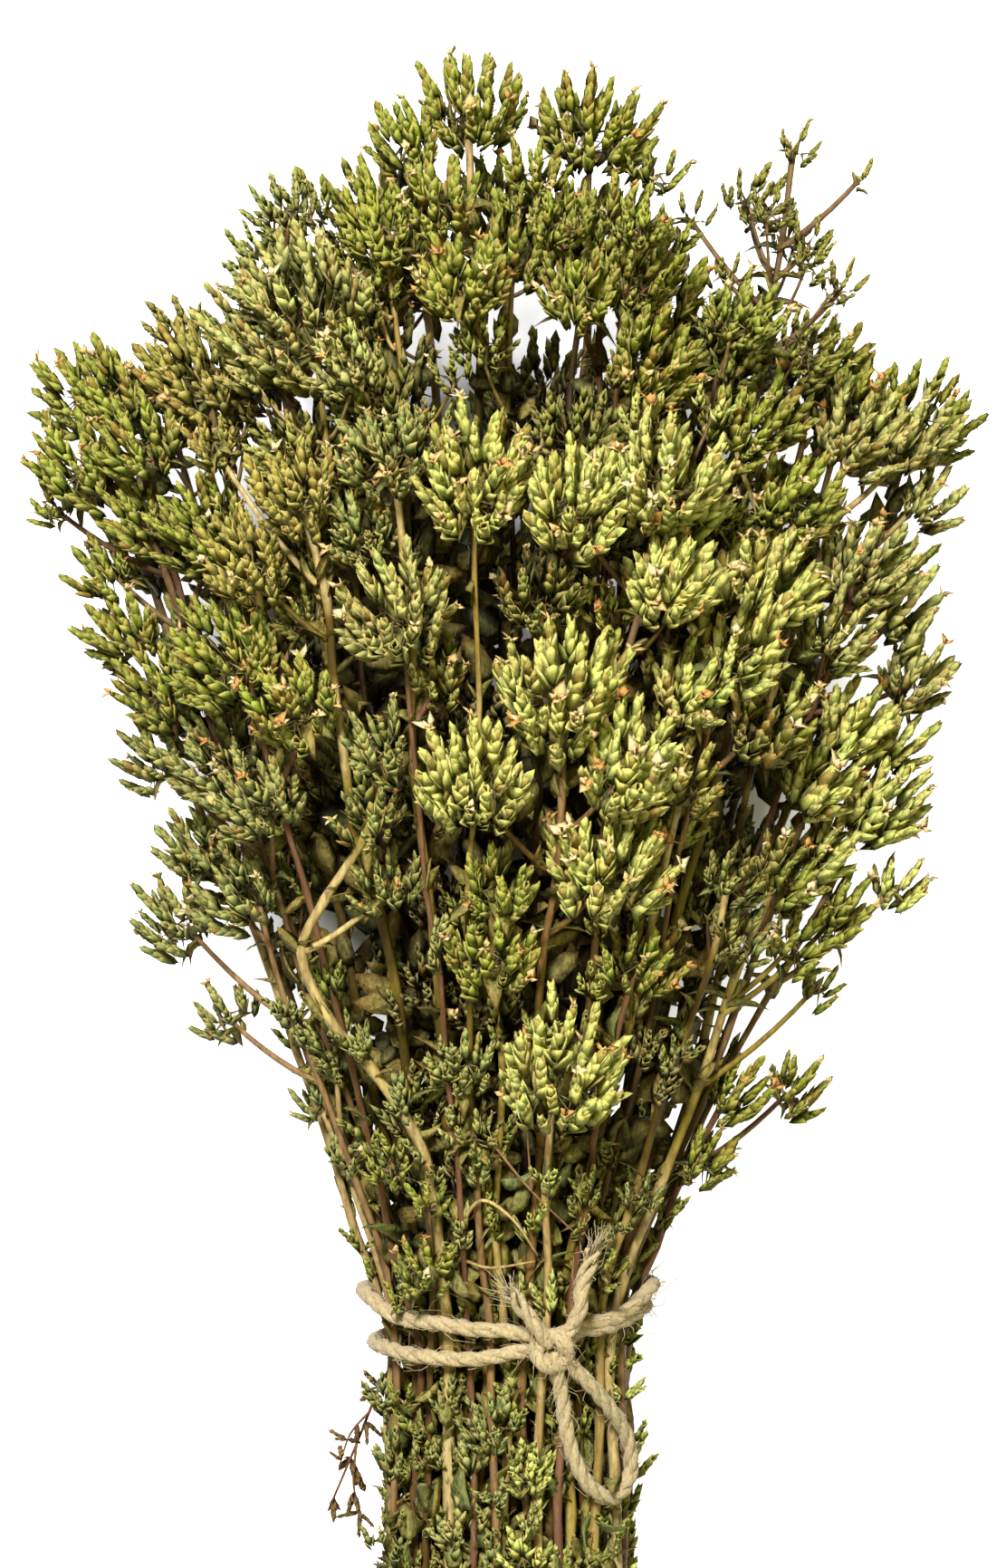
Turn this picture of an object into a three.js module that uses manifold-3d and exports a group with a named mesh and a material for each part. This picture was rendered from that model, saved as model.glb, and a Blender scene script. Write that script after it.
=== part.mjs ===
// A bunch of dried oregano, tied with twine and laid down on a table.
// Millimetres, +Z up. The flower heads point towards +Y and the cut ends towards -Y.
// Each stem is one piece with its side branches, leaves and heads, and the twine is another.

import * as THREE from 'three';
import { mergeVertices } from 'three/addons/utils/BufferGeometryUtils.js';
import Module from 'manifold-3d';

const wasm = await Module();
wasm.setup();

// Driving dimensions. "Along" is the distance from the tie towards the heads, "across" is to the right
// of the tie, and "depth" runs from -1 on the underside of the bunch to 1 on the side that faces up.
const TIE = { x: 0.5, y: -65 };
const CUT_END = -86;
const NECK = { across: 19.5, depth: 15 };
const CROWN = { across: 70, depth: 44, along: 150 };
const CUT_FLARE = 0.05;
const AXIS = { low: 18, high: 41, levelAt: 120 };
const STEM_RADIUS = { cut: 1, top: 0.7 };
const BRANCH_RADIUS = { from: 0.65, to: 0.55 };
const STEM_SPACING = 3.4;
const GAP = 0.35;
const LOWEST_BRANCH = 9;
const HEAD_OPENING = 80;
const HOLLOW = 0.55;
const HEAD_FULLNESS = 1.22;
const SHORTEST_SPIKELET = 1.2;
const BIG_HEAD = 11;
const SMALL_HEAD = 6;
const LEAF = { length: 9, halfWidth: 2.4, thickness: 0.7 };
const TWINE_RADIUS = 1.3;

// Flowering stems on the side that faces up, left to right from the top of the bunch. Each head is
// [across, along, depth, radius], the first one on the end of its stem and the rest on side branches.
// "neck" is the stem's place in the tie, and "bow" is a bend: [across, along, length].
const FACING_STEMS = [
  { tint: 'green', heads: [[-7.5, 209, 0.1, 9], [-17, 203, 0.1, 6.5], [-13, 191, 0.5, 7],
    [-2, 196, -0.3, 6]] },
  { tint: 'olive', heads: [[-24, 195, -0.3, 7.5], [-18, 183, -0.1, 7.5]] },
  { tint: 'olive', heads: [[16, 206, 0, 9], [12, 192, -0.2, 6.5], [4.5, 197, 0.2, 5.5]] },
  { tint: 'green', heads: [[19, 187, 0.3, 8], [26, 196, 0.2, 4.5], [13, 176, 0.5, 7]] },
  { tint: 'green', heads: [[1, 184, 0.3, 8], [-8, 178, 0.6, 7.5]] },
  { tint: 'olive', heads: [[26.5, 176, 0.1, 8.5], [33, 170, -0.1, 6], [24, 165, 0.5, 8]] },
  { tint: 'green', heads: [[43, 169, 0, 8.5], [46, 156, 0.3, 6]] },
  { tint: 'grass', heads: [[49, 201, 0, 3.6], [60, 196, 0, 2.8], [51, 185, 0, 4.5], [38, 180, -0.1, 3.8],
    [32, 190, -0.1, 3.6], [57, 178, 0, 3.8]] },
  { tint: 'olive', heads: [[56, 166, -0.2, 8], [62, 159, 0, 6]] },
  { tint: 'pale', heads: [[-37.5, 173, 0.5, 13]] },
  { tint: 'brown', heads: [[-55, 163, 0.1, 9], [-46, 166, -0.3, 8]] },
  { tint: 'green', heads: [[-69, 160, 0, 8], [-74, 149, 0, 9], [-63, 151, 0.3, 7], [-78, 141, -0.2, 4.5]] },
  { tint: 'green', heads: [[-64, 140, 0.1, 7.5], [-69, 131, -0.1, 6], [-53, 138, 0.4, 8]] },
  { tint: 'dark', heads: [[-23, 165, 0.2, 9.5], [-24, 178, -0.1, 6]] },
  { tint: 'brown', heads: [[-36, 142, 0.9, 7.5], [-44, 131, 0.85, 7.5], [-50, 150, 0.6, 4.5]] },
  { tint: 'green', heads: [[-66, 121, 0, 7], [-60, 111, 0.3, 8]] },
  { tint: 'green', heads: [[-47, 117, 0.8, 9.5], [-36, 108, 0.95, 8], [-36, 122, 0.7, 5.5]] },
  { tint: 'grey', heads: [[-50, 100, 0.5, 8.5], [-59, 100, 0, 6.5], [-42, 93, 0.85, 8]] },
  { tint: 'grey', heads: [[-46, 78, 0.55, 8.5], [-54, 84, 0.1, 7], [-57, 72, 0, 7.5], [-49, 55, 0, 5]] },
  { tint: 'grey', heads: [[-20, 148, 0.9, 7.5], [-25, 136, 0.8, 7]] },
  { tint: 'bright', heads: [[-6, 145, 0.95, 9.5]] },
  { tint: 'pale', heads: [[-19, 124, 1, 9], [-14, 112, 0.8, 6]] },
  { tint: 'bright', heads: [[27, 144, 0.95, 10], [12, 141, 1, 8.5], [28, 129, 1, 8]] },
  { tint: 'bright', heads: [[10.5, 111, 1, 11.5], [-6, 98, 1, 9.5], [20, 99, 1.05, 9.5], [18, 83, 1, 9.5]],
    neck: [0.1, 0.8] },
  { tint: 'green', heads: [[-3, 79, 0.9, 8], [-3, 68, 0.95, 7.5]] },
  { tint: 'bright', heads: [[9, 50, 1.05, 11]], neck: [0.28, 0.92] },
  { tint: 'green', heads: [[23, 66, 0.95, 6.5]] },
  { tint: 'grey', heads: [[-21, 101, 0.95, 6.5], [-24, 91, 0.9, 7], [-23, 79, 0.85, 6.5]],
    neck: [-0.42, 0.9], bow: [-17, 62, 20] },
  { tint: 'bright', heads: [[39, 117, 0.9, 9], [32, 110, 0.9, 6.5], [44, 106, 0.8, 8], [45, 128, 0.8, 8]] },
  { tint: 'green', heads: [[49, 142, 0.5, 7.5], [40, 153, 0.6, 6.5]] },
  { tint: 'pale', heads: [[61, 153, 0.2, 8], [71, 153, 0, 7.5], [72, 143, -0.1, 6]] },
  { tint: 'pale', heads: [[62, 131, 0.4, 7.5], [68, 124, 0.1, 7], [70, 113, 0, 7], [56, 119, 0.7, 6.5]] },
  { tint: 'bright', heads: [[60, 106, 0.4, 8], [67, 102, 0, 6]] },
  { tint: 'bright', heads: [[64, 92, 0.2, 8], [54, 96, 0.6, 7.5], [55, 86, 0.4, 7], [67, 77, 0, 4.5]] },
  { tint: 'green', heads: [[48, 80, 0.6, 6.5], [57, 73, 0.1, 7], [50, 68, 0.5, 6.5], [54, 60, 0, 4]] },
  { tint: 'grey', heads: [[39, 79, 0.9, 5.5], [40, 69, 0.8, 5.5]] },
  { tint: 'olive', heads: [[40, 43, 0.2, 7], [50, 43, 0, 5.5], [34, 32, 0.4, 6]] },
  { tint: 'green', heads: [[-14, 25, 1.15, 4], [-14, 14, 1.15, 5.5]], neck: [-0.62, 0.66] },
  { tint: 'grey', heads: [[-8, 49, 0.95, 6], [-6, 36, 0.95, 5]] },
  { tint: 'brown', heads: [[31, 95, 0.9, 6.5]] },
  { tint: 'grey', heads: [[-33, 40, 0.3, 4.5], [-30, 52, 0.6, 5]] },
  { tint: 'dark', heads: [[6, 125, 0.8, 7]] },
];

// The stems that lie under those, by rule: one row round the underside and one row inside the bunch.
// "steps" says how far below the top of its stem each head sits.
const HIDDEN_ROWS = [
  { stems: 8, fromTurn: -78, toTurn: 78, depth: 0.95, radius: 8.5, steps: [0, 27, 52, 78] },
  { stems: 7, fromTurn: -150, toTurn: 150, depth: 0.5, radius: 8, steps: [0, 28] },
];
const HIDDEN_TINTS = ['green', 'olive', 'grey'];
const TALLEST = 196;
const EDGE_DROP = 34;

const TINTS = {
  bright: 0xa9a353,
  pale: 0xaca267,
  green: 0x87852f,
  grey: 0x848054,
  olive: 0x7f7a24,
  brown: 0x917c3c,
  dark: 0x57591d,
  grass: 0x85823a,
};
const TWINE_COLOUR = 0xbea87c;
const ROUGHNESS = { herb: 0.9, twine: 0.95 };

// The twine goes twice round the neck. Each point is [degrees to the left from the top, along].
const TWINE_TURNS = [[-20, -2.6], [20, -4.6], [90, -3.3], [180, -1], [270, 3], [325, 0.2], [345, -0.6],
  [365, 0.4], [400, 1.6], [450, 5.7], [540, 4.5], [630, 6.6], [680, 1.4], [700, -2]];
const TURN_STRETCHES = [[-20, 180], [176, 540], [536, 700]];
// The loose parts of the knot, as [across, along, height above the stems].
const KNOT = [7.5, -2.4, 2.2];
const KNOT_RADIUS = 3.1;
const KNOT_STRETCH = [1.05, 1.15, 0.9];
const BOW_LOOP = [[7.5, -3, 2.4], [9, -10, 2], [10.5, -19, 1.4], [13.5, -26, 1.1], [18, -29, 1.1],
  [21, -25, 1.2], [20, -18, 1.6], [15.5, -11, 2], [9.5, -4, 2.4]];
const LOOSE_ENDS = [
  [[7, -2, 2.6], [4, 2.5, 3.4], [0.5, 7.2, 2.6]],
  [[9, -1.5, 2.6], [12, 3.5, 3.4], [12.5, 8, 2.4], [14.5, 14, 0.8]],
];

// How far the stems have fanned out: 0 at the tie and 1 at the widest part of the crown.
function fan(along) {
  return along > 0 ? along / CROWN.along : CUT_FLARE * (along / CUT_END) ** 2;
}

function halfAcross(along) {
  return THREE.MathUtils.lerp(NECK.across, CROWN.across, fan(along));
}

function halfDepth(along) {
  return THREE.MathUtils.lerp(NECK.depth, CROWN.depth, fan(along));
}

// The bunch slopes: its thin end lies low and its thick crown holds the middle line up.
function axisHeight(along) {
  return THREE.MathUtils.lerp(AXIS.low, AXIS.high, THREE.MathUtils.smoothstep(along, CUT_END, AXIS.levelAt));
}

// The height of the crown's upper surface over its middle line, which closes in at the top like a dome.
const DOME_LENGTH = 85;
const SIDE_ROOM = 10;
const FARTHEST_SIDE = 0.95;
function crownHeight(across, along) {
  const dome = Math.sqrt(1 - Math.max(0, (along - CROWN.along) / DOME_LENGTH) ** 2);
  const side = Math.min(FARTHEST_SIDE, Math.abs(across) / (halfAcross(along) + SIDE_ROOM));
  return halfDepth(Math.min(along, CROWN.along)) * dome * Math.sqrt(1 - side * side);
}

// A number from 0 to 1 that depends only on its arguments, for natural unevenness.
function uneven(a, b = 0) {
  const wave = Math.sin(a * 12.9898 + b * 78.233) * 43758.5453;
  return wave - Math.floor(wave);
}

// The hidden stems' tops are uneven, and their heads sit to the left and right of the stem by turns.
const TOP_UNEVENNESS = 14;
const STAGGER = 0.16;
const OVERHANG = 6;
const HEAD_SHARE = { smallest: 0.86, spread: 0.28 };
function hiddenStems() {
  return HIDDEN_ROWS.flatMap((row, r) => Array.from({ length: row.stems }, (_, i) => {
    const turn = THREE.MathUtils.degToRad(row.fromTurn + (row.toTurn - row.fromTurn) * i / (row.stems - 1));
    const heads = row.steps.map((step, k) => {
      const top = TALLEST - EDGE_DROP * Math.abs(Math.sin(turn)) * row.depth;
      const along = top - TOP_UNEVENNESS * uneven(i, r + 1) - step;
      const side = turn + (k % 2 ? STAGGER : -STAGGER) * Math.sign(k);
      const across = (halfAcross(along) + OVERHANG) * row.depth * Math.sin(side);
      const radius = row.radius * (HEAD_SHARE.smallest + HEAD_SHARE.spread * uneven(i, k + r + 1));
      return [across, along, -row.depth * Math.cos(side), radius];
    });
    return { tint: HIDDEN_TINTS[(i + r) % HIDDEN_TINTS.length], heads, hidden: true };
  }));
}

// A head's middle is where the table says, and it opens away from the bunch's middle line and upwards.
const LEAN = 0.75;
const LOOSE_LEAN = 0.3;
const FULL_LEAN_AT = 45;
const LEAN_CENTRE = 0.9;
const FOOT_BELOW = 0.75;
function headAt([across, along, depth, width], stem) {
  const radius = width * HEAD_FULLNESS;
  const surface = stem.hidden ? halfDepth(Math.min(along, CROWN.along)) : crownHeight(across, along);
  const middle = new THREE.Vector3(TIE.x + across, TIE.y + along, axisHeight(along) + depth * surface);
  const out = new THREE.Vector3(across, 0, middle.z - LEAN_CENTRE * axisHeight(along));
  const lean = (stem.tint === 'grass' ? LOOSE_LEAN : LEAN) * Math.min(1, out.length() / FULL_LEAN_AT);
  const axis = out.setLength(lean).add(new THREE.Vector3(0, 1, 0)).normalize();
  return { middle, axis, radius, foot: middle.clone().addScaledVector(axis, -FOOT_BELOW * radius) };
}

// Where a point lies in the bunch's section: 1 is the edge of the fan of stems.
function sectionPlace(point) {
  const along = point.y - TIE.y;
  return new THREE.Vector2(
    (point.x - TIE.x) / halfAcross(along),
    (point.z - axisHeight(along)) / halfDepth(along),
  );
}

// Each stem's place in the tie is its top head's place, drawn in and then moved off its neighbours.
const PUSH_ROUNDS = 200;
const PUSH_SHARE = 0.3;
function takePlacesInTie(stems) {
  const size = new THREE.Vector2(NECK.across, NECK.depth);
  const places = stems.map((stem) => {
    const place = stem.neck ? new THREE.Vector2(...stem.neck) : sectionPlace(stem.heads[0].foot);
    return place.clampLength(0, 1).multiply(size);
  });
  for (let round = 0; round < PUSH_ROUNDS; round += 1) {
    const pushes = places.map((place) => places.reduce((push, other) => {
      const away = place.clone().sub(other);
      const near = away.length();
      if (near > 0 && near < STEM_SPACING) push.add(away.setLength((STEM_SPACING - near) * PUSH_SHARE));
      return push;
    }, new THREE.Vector2()));
    places.forEach((place, i) => {
      place.add(pushes[i]).divide(size).clampLength(0, 1).multiply(size);
    });
  }
  stems.forEach((stem, i) => {
    stem.place = places[i].divide(size);
  });
}

// A point on the middle line of a stem. A bow fades out towards both ends of its stem.
const BOW_FADE = 6;
function onStem(stem, along) {
  const top = stem.heads[0].foot;
  const t = THREE.MathUtils.clamp(along / (top.y - TIE.y), 0, 1);
  const place = stem.place.clone().lerp(sectionPlace(top), t);
  const [shift, at, length] = stem.bow ?? [0, 0, 1];
  const faded = Math.min(1, t * BOW_FADE, (1 - t) * BOW_FADE);
  const bow = shift * Math.exp(-(((along - at) / length) ** 2)) * faded;
  return new THREE.Vector3(
    TIE.x + place.x * halfAcross(along) + bow,
    TIE.y + along,
    axisHeight(along) + place.y * halfDepth(along),
  );
}

// The closest points of two line segments, each given as [start, end].
function closest([p, q], [r, s]) {
  const u = q.clone().sub(p);
  const v = s.clone().sub(r);
  const w = p.clone().sub(r);
  const [uu, vv, uv, uw, vw] = [u.dot(u), v.dot(v), u.dot(v), u.dot(w), v.dot(w)];
  const spread = uu * vv - uv * uv;
  const first = spread > 1e-9 ? THREE.MathUtils.clamp((uv * vw - uw * vv) / spread, 0, 1) : 0;
  const b = THREE.MathUtils.clamp((first * uv + vw) / vv, 0, 1);
  const a = THREE.MathUtils.clamp((b * uv - uw) / uu, 0, 1);
  return [p.clone().addScaledVector(u, a), r.clone().addScaledVector(v, b)];
}

function distance(one, other) {
  const [a, b] = closest(one, other);
  return a.distanceTo(b);
}

function segmentsOf(line) {
  return line.slice(1).map((point, i) => [line[i], point]);
}

// Each stem is straight below the tie, and above it has a few bends. The cut ends are uneven.
const STRETCH = 55;
const BOWED_STRETCHES = 9;
const CUT_UNEVENNESS = 9;
function drawStem(stem, i) {
  const end = stem.heads[0].foot.y - TIE.y;
  const steps = stem.bow ? BOWED_STRETCHES : Math.ceil(end / STRETCH);
  const levels = Array.from({ length: steps + 1 }, (_, k) => end * k / steps);
  stem.line = [CUT_END + CUT_UNEVENNESS * uneven(i, 5), ...levels].map((along) => onStem(stem, along));
  stem.segments = segmentsOf(stem.line);
}

// A point on a stem as it was drawn, from the tie to just below its top head.
const BELOW_HEAD = 2;
function onDrawnStem(stem, along) {
  const highest = stem.heads[0].foot.y - TIE.y - BELOW_HEAD;
  const level = TIE.y + THREE.MathUtils.clamp(along, LOWEST_BRANCH, highest);
  const [from, to] = stem.segments.find(([, end]) => end.y > level);
  return from.clone().lerp(to, (level - from.y) / (to.y - from.y));
}

// A head moves off any other stem that would run through it.
const HEAD_ROOM = 3.2;
const HEAD_CORE = 1.5;
const MOVE_ROUNDS = 4;
function moveHeads(stem, stems) {
  const others = stems.filter((other) => other !== stem).flatMap(({ segments }) => segments);
  for (const head of stem.heads) {
    for (const segment of others) {
      const [mine, theirs] = closest([head.foot, head.middle], segment);
      const away = mine.sub(theirs);
      const lack = HEAD_ROOM - away.length();
      if (lack > 0) {
        away.setLength(lack);
        head.foot.add(away);
        head.middle.add(away);
      }
    }
  }
}

// What other pieces keep clear of in a stem, as segments with a thickness.
function bodiesOf(stem) {
  return [
    ...stem.segments.map((segment) => ({ segment, radius: STEM_RADIUS.cut })),
    ...stem.branches.map((segment) => ({ segment, radius: BRANCH_RADIUS.from })),
  ];
}

// A side branch leaves its stem below its head, at the first of a few slopes where it is clear.
const BRANCH_SLOPES = [1, 0.7, 1.4, 0.45, 1.9, 0.25, 2.5];
const CLEARER_BY = 0.01;
function sideBranch(stem, head, others) {
  const level = head.foot.y - TIE.y;
  const side = onDrawnStem(stem, level).distanceTo(head.foot);
  let best = { clear: -Infinity };
  for (const slope of BRANCH_SLOPES) {
    const branch = [onDrawnStem(stem, level - slope * side), head.foot];
    const clear = Math.min(...others.map(({ segment, radius }) => distance(branch, segment) - radius));
    if (clear > best.clear + CLEARER_BY) best = { clear, branch };
    if (clear > BRANCH_RADIUS.from + GAP) break;
  }
  return best.branch;
}

// Each head keeps to its own side of a plane between it and every neighbour.
function wallsRound(head, stem, stems, twine) {
  const spine = [head.foot, head.middle];
  const walls = [];
  const addWall = (segment, thickness, share) => {
    const [mine, theirs] = closest(spine, segment);
    const normal = theirs.clone().sub(mine);
    const room = normal.length() - thickness - GAP;
    normal.normalize();
    walls.push({ normal, limit: normal.dot(mine) + room * share });
  };
  for (const other of stems) {
    if (other !== stem) bodiesOf(other).forEach(({ segment, radius }) => addWall(segment, radius, 1));
    for (const near of other.heads) {
      const share = head.radius / (head.radius + near.radius);
      if (near !== head) addWall([near.foot, near.middle], 0, share);
    }
  }
  twine.forEach((segment) => addWall(segment, TWINE_RADIUS, 1));
  return walls;
}

// How far a ray from a head's foot runs before it meets a wall or the table. A hollow stays behind
// the walls, but it may press flat on the table.
const BEHIND_WALL = 0.85;
function reach(head, direction, wanted, hollow = false) {
  const free = head.walls.reduce((length, { normal, limit }) => {
    const slope = normal.dot(direction);
    return slope > 1e-6 ? Math.min(length, (limit - normal.dot(head.foot)) / slope) : length;
  }, Infinity);
  const table = direction.z < 0 ? head.foot.z / -direction.z : Infinity;
  return Math.min(wanted, free * (hollow ? BEHIND_WALL : 1), table);
}

// A leaf grows where a side branch leaves the stem, on the side that has the most room.
const LEAF_TURNS = 8;
const LEAF_SLOPE = 0.6;
const LEAF_SHARE = { smallest: 0.75, spread: 0.5 };
const LEAF_ROOM = 0.2;
const OVER_TABLE = 1;
const BLADE_FROM = 0.3;
const BLADE_FULLNESS = 0.8;
function leafFrom(node, crowd, seed) {
  const size = LEAF_SHARE.smallest + LEAF_SHARE.spread * uneven(seed, 3);
  let best = { clear: LEAF_ROOM };
  for (let i = 0; i < LEAF_TURNS; i += 1) {
    const turn = 2 * Math.PI * (i + uneven(seed)) / LEAF_TURNS;
    const out = new THREE.Vector3(Math.cos(turn), LEAF_SLOPE, Math.sin(turn)).normalize();
    const tip = node.clone().addScaledVector(out, size * LEAF.length);
    const blade = [node.clone().lerp(tip, BLADE_FROM), tip];
    const room = crowd.map(({ segment, radius }) => distance(blade, segment) - radius);
    const clear = Math.min(tip.z - OVER_TABLE, ...room) - size * LEAF.halfWidth * BLADE_FULLNESS;
    if (clear > best.clear) best = { clear, node, out, size };
  }
  return best.out ? [best] : [];
}

// How much wider than its radius a head is for the leaves.
const HEAD_WITH_TIPS = 1.15;
function layOut(twine) {
  const stems = [...FACING_STEMS, ...hiddenStems()].map((stem) => (
    { ...stem, heads: stem.heads.map((head) => headAt(head, stem)), branches: [], leaves: [] }
  ));
  takePlacesInTie(stems);
  stems.forEach(drawStem);
  for (let round = 0; round < MOVE_ROUNDS; round += 1) {
    stems.forEach((stem) => moveHeads(stem, stems));
    stems.forEach(drawStem);
  }
  stems.forEach((stem) => {
    const others = stems.filter((other) => other !== stem).flatMap((other) => [
      ...bodiesOf(other),
      ...other.heads.map((head) => ({ segment: [head.foot, head.middle], radius: HEAD_CORE })),
    ]);
    stem.branches = stem.heads.slice(1).map((head) => sideBranch(stem, head, others));
  });
  const crowd = twine.map((segment) => ({ segment, radius: TWINE_RADIUS }));
  stems.forEach((stem) => stem.heads.forEach((head) => {
    head.walls = wallsRound(head, stem, stems, twine);
    crowd.push({ segment: [head.foot, head.middle], radius: HEAD_WITH_TIPS * head.radius });
  }));
  stems.forEach((stem, i) => {
    const others = stems.filter((other) => other !== stem).flatMap(bodiesOf);
    stem.branches.forEach(([node], k) => {
      leafFrom(node, [...others, ...crowd], i + 100 * k).forEach((leaf) => {
        const tip = node.clone().addScaledVector(leaf.out, leaf.size * LEAF.length);
        stem.leaves.push(leaf);
        crowd.push({ segment: [node, tip], radius: leaf.size * LEAF.halfWidth });
      });
    });
  });
  return stems;
}

// A ring of points about a line, counter-clockwise seen from its far end.
function ringAbout(direction, count, pointOn) {
  const sideways = new THREE.Vector3(0, 0, 1).cross(direction).normalize();
  const upwards = direction.clone().cross(sideways);
  return Array.from({ length: count }, (_, i) => {
    const turn = 2 * Math.PI * i / count;
    const spoke = sideways.clone().multiplyScalar(Math.cos(turn)).addScaledVector(upwards, Math.sin(turn));
    return pointOn(spoke, i);
  });
}

// Rings of a stalk along its line, narrowing from its root to its end.
function stalkRings(line, sides, rootRadius, endRadius) {
  return line.map((point, k) => {
    const before = line[Math.max(0, k - 1)];
    const after = line[Math.min(line.length - 1, k + 1)];
    const radius = THREE.MathUtils.lerp(rootRadius, endRadius, k / (line.length - 1));
    const direction = after.clone().sub(before).normalize();
    return ringAbout(direction, sides, (spoke) => point.clone().addScaledVector(spoke, radius));
  });
}

// Rings of a head from its base to its crown. Every other point is the tip of a spikelet, and the
// points between are the hollows, so the head is covered in four-sided spikelets.
const TIPS_AROUND = { usual: 8, big: 10 };
const HEAD_RINGS = 3;
const LAST_RING = 0.2;
const HEAD_DEPTH = 1.45;
const FLATNESS = 0.3;
const TIP_LENGTH = { shortest: 0.9, spread: 0.2 };
const CROWN_POINT = 1.25;
function headRings(head) {
  const around = head.radius > BIG_HEAD ? TIPS_AROUND.big : TIPS_AROUND.usual;
  const rings = HEAD_RINGS + (head.radius > BIG_HEAD) - (head.radius < SMALL_HEAD);
  return Array.from({ length: rings }, (_, k) => {
    const opened = (rings - k - LAST_RING) / rings;
    const polar = THREE.MathUtils.degToRad(HEAD_OPENING * opened);
    return ringAbout(head.axis, around, (spoke, i) => {
      const direction = head.axis.clone().multiplyScalar(Math.cos(polar))
        .addScaledVector(spoke, Math.sin(polar));
      const tip = (i + k) % 2 === 0;
      const full = HEAD_DEPTH * head.radius * (1 - FLATNESS * opened * opened);
      const tipLength = TIP_LENGTH.shortest + TIP_LENGTH.spread * uneven(i + 10 * k, head.radius);
      const wanted = full * (tip ? tipLength : HOLLOW);
      const length = Math.max(SHORTEST_SPIKELET, reach(head, direction, wanted, !tip));
      return head.foot.clone().addScaledVector(direction, length);
    });
  });
}

// Joins a stalk's rings and a head's rings in one closed skin. The head has two points for each side
// of the stalk, and the edges inside it join hollow to hollow.
function sprigSolid(line, rootRadius, endRadius, head) {
  const crown = headRings(head);
  const around = crown[0].length;
  const sides = around / 2;
  const stalk = stalkRings(line, sides, rootRadius, endRadius);
  const headStart = stalk.length * sides;
  const top = headStart + crown.length * around;
  const points = [...stalk.flat(), ...crown.flat()];
  const height = reach(head, head.axis, CROWN_POINT * head.radius);
  points.push(head.foot.clone().addScaledVector(head.axis, height));
  const faces = [];
  for (let i = 1; i < sides - 1; i += 1) faces.push(0, i + 1, i);
  for (let i = 0; i < sides; i += 1) {
    const next = (i + 1) % sides;
    for (let k = 0; k < stalk.length - 1; k += 1) {
      const [a, b, c, d] = [k * sides + i, k * sides + next, (k + 1) * sides + next, (k + 1) * sides + i];
      faces.push(a, b, c, a, c, d);
    }
    const [a, b] = [headStart - sides + i, headStart - sides + next];
    const [c, d, e] = [2 * i, 2 * i + 1, (2 * i + 2) % around].map((point) => headStart + point);
    faces.push(a, b, d, a, d, c, b, e, d);
  }
  for (let i = 0; i < around; i += 1) {
    const next = (i + 1) % around;
    for (let k = 0; k < crown.length - 1; k += 1) {
      const [a, b] = [headStart + k * around + i, headStart + k * around + next];
      const [c, d] = [b + around, a + around];
      if ((i + k) % 2 === 0) faces.push(a, b, d, b, c, d);
      else faces.push(a, b, c, a, c, d);
    }
    faces.push(top - around + i, top - around + next, top);
  }
  return solidOf(new THREE.BufferGeometry().setFromPoints(points).setIndex(faces));
}

// A leaf is a thin ovate blade with its narrow end sunk in the stem.
const WIDEST_AT = 0.4;
function leafSolid({ node, out, size }) {
  const { length, halfWidth, thickness } = LEAF;
  const outline = new THREE.Shape([
    new THREE.Vector2(0, 0),
    new THREE.Vector2(halfWidth, WIDEST_AT * length),
    new THREE.Vector2(0, length),
    new THREE.Vector2(-halfWidth, WIDEST_AT * length),
  ]);
  const geometry = new THREE.ExtrudeGeometry(outline, { depth: thickness, bevelEnabled: false });
  geometry.translate(0, 0, -thickness / 2);
  geometry.scale(size, size, 1);
  const across = new THREE.Vector3(0, 1, 0).cross(out).normalize();
  geometry.applyMatrix4(new THREE.Matrix4().makeBasis(across, out, across.clone().cross(out)));
  geometry.translate(...node.toArray());
  return solidOf(geometry);
}

// A closed mesh as a solid that can be joined to others.
function solidOf(geometry) {
  geometry.deleteAttribute('normal');
  geometry.deleteAttribute('uv');
  const merged = mergeVertices(geometry, 1e-4);
  return new wasm.Manifold(new wasm.Mesh({
    numProp: 3,
    vertProperties: new Float32Array(merged.attributes.position.array),
    triVerts: new Uint32Array(merged.index.array),
  }));
}

function stemSolid(stem) {
  const [topHead, ...sideHeads] = stem.heads;
  const pieces = [
    sprigSolid(stem.line, STEM_RADIUS.cut, STEM_RADIUS.top, topHead),
    ...sideHeads.map((head, k) => sprigSolid(stem.branches[k], BRANCH_RADIUS.from, BRANCH_RADIUS.to, head)),
    ...stem.leaves.map(leafSolid),
  ];
  return pieces.reduce((whole, piece) => whole.add(piece));
}

// A point of the twine that lies on the stems, or "height" above them.
const TWINE_OFF = STEM_RADIUS.cut + GAP + TWINE_RADIUS + 0.5;
const NECK_EDGE = 0.98;
function onNeck(across, along, height = 0) {
  const side = Math.min(NECK_EDGE, Math.abs(across) / (halfAcross(along) + TWINE_OFF));
  const up = (halfDepth(along) + TWINE_OFF) * Math.sqrt(1 - side * side) + height;
  return new THREE.Vector3(TIE.x + across, TIE.y + along, axisHeight(along) + up);
}

function twineTurn(degrees) {
  const next = TWINE_TURNS.findIndex(([turn]) => turn >= degrees - 1e-6);
  const [[turnA, alongA], [turnB, alongB]] = [TWINE_TURNS[Math.max(0, next - 1)], TWINE_TURNS[next]];
  const along = alongA + (alongB - alongA) * THREE.MathUtils.smootherstep(degrees, turnA, turnB);
  const turn = THREE.MathUtils.degToRad(degrees);
  return new THREE.Vector3(
    TIE.x - (halfAcross(along) + TWINE_OFF) * Math.sin(turn),
    TIE.y + along,
    axisHeight(along) + (halfDepth(along) + TWINE_OFF) * Math.cos(turn),
  );
}

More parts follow.
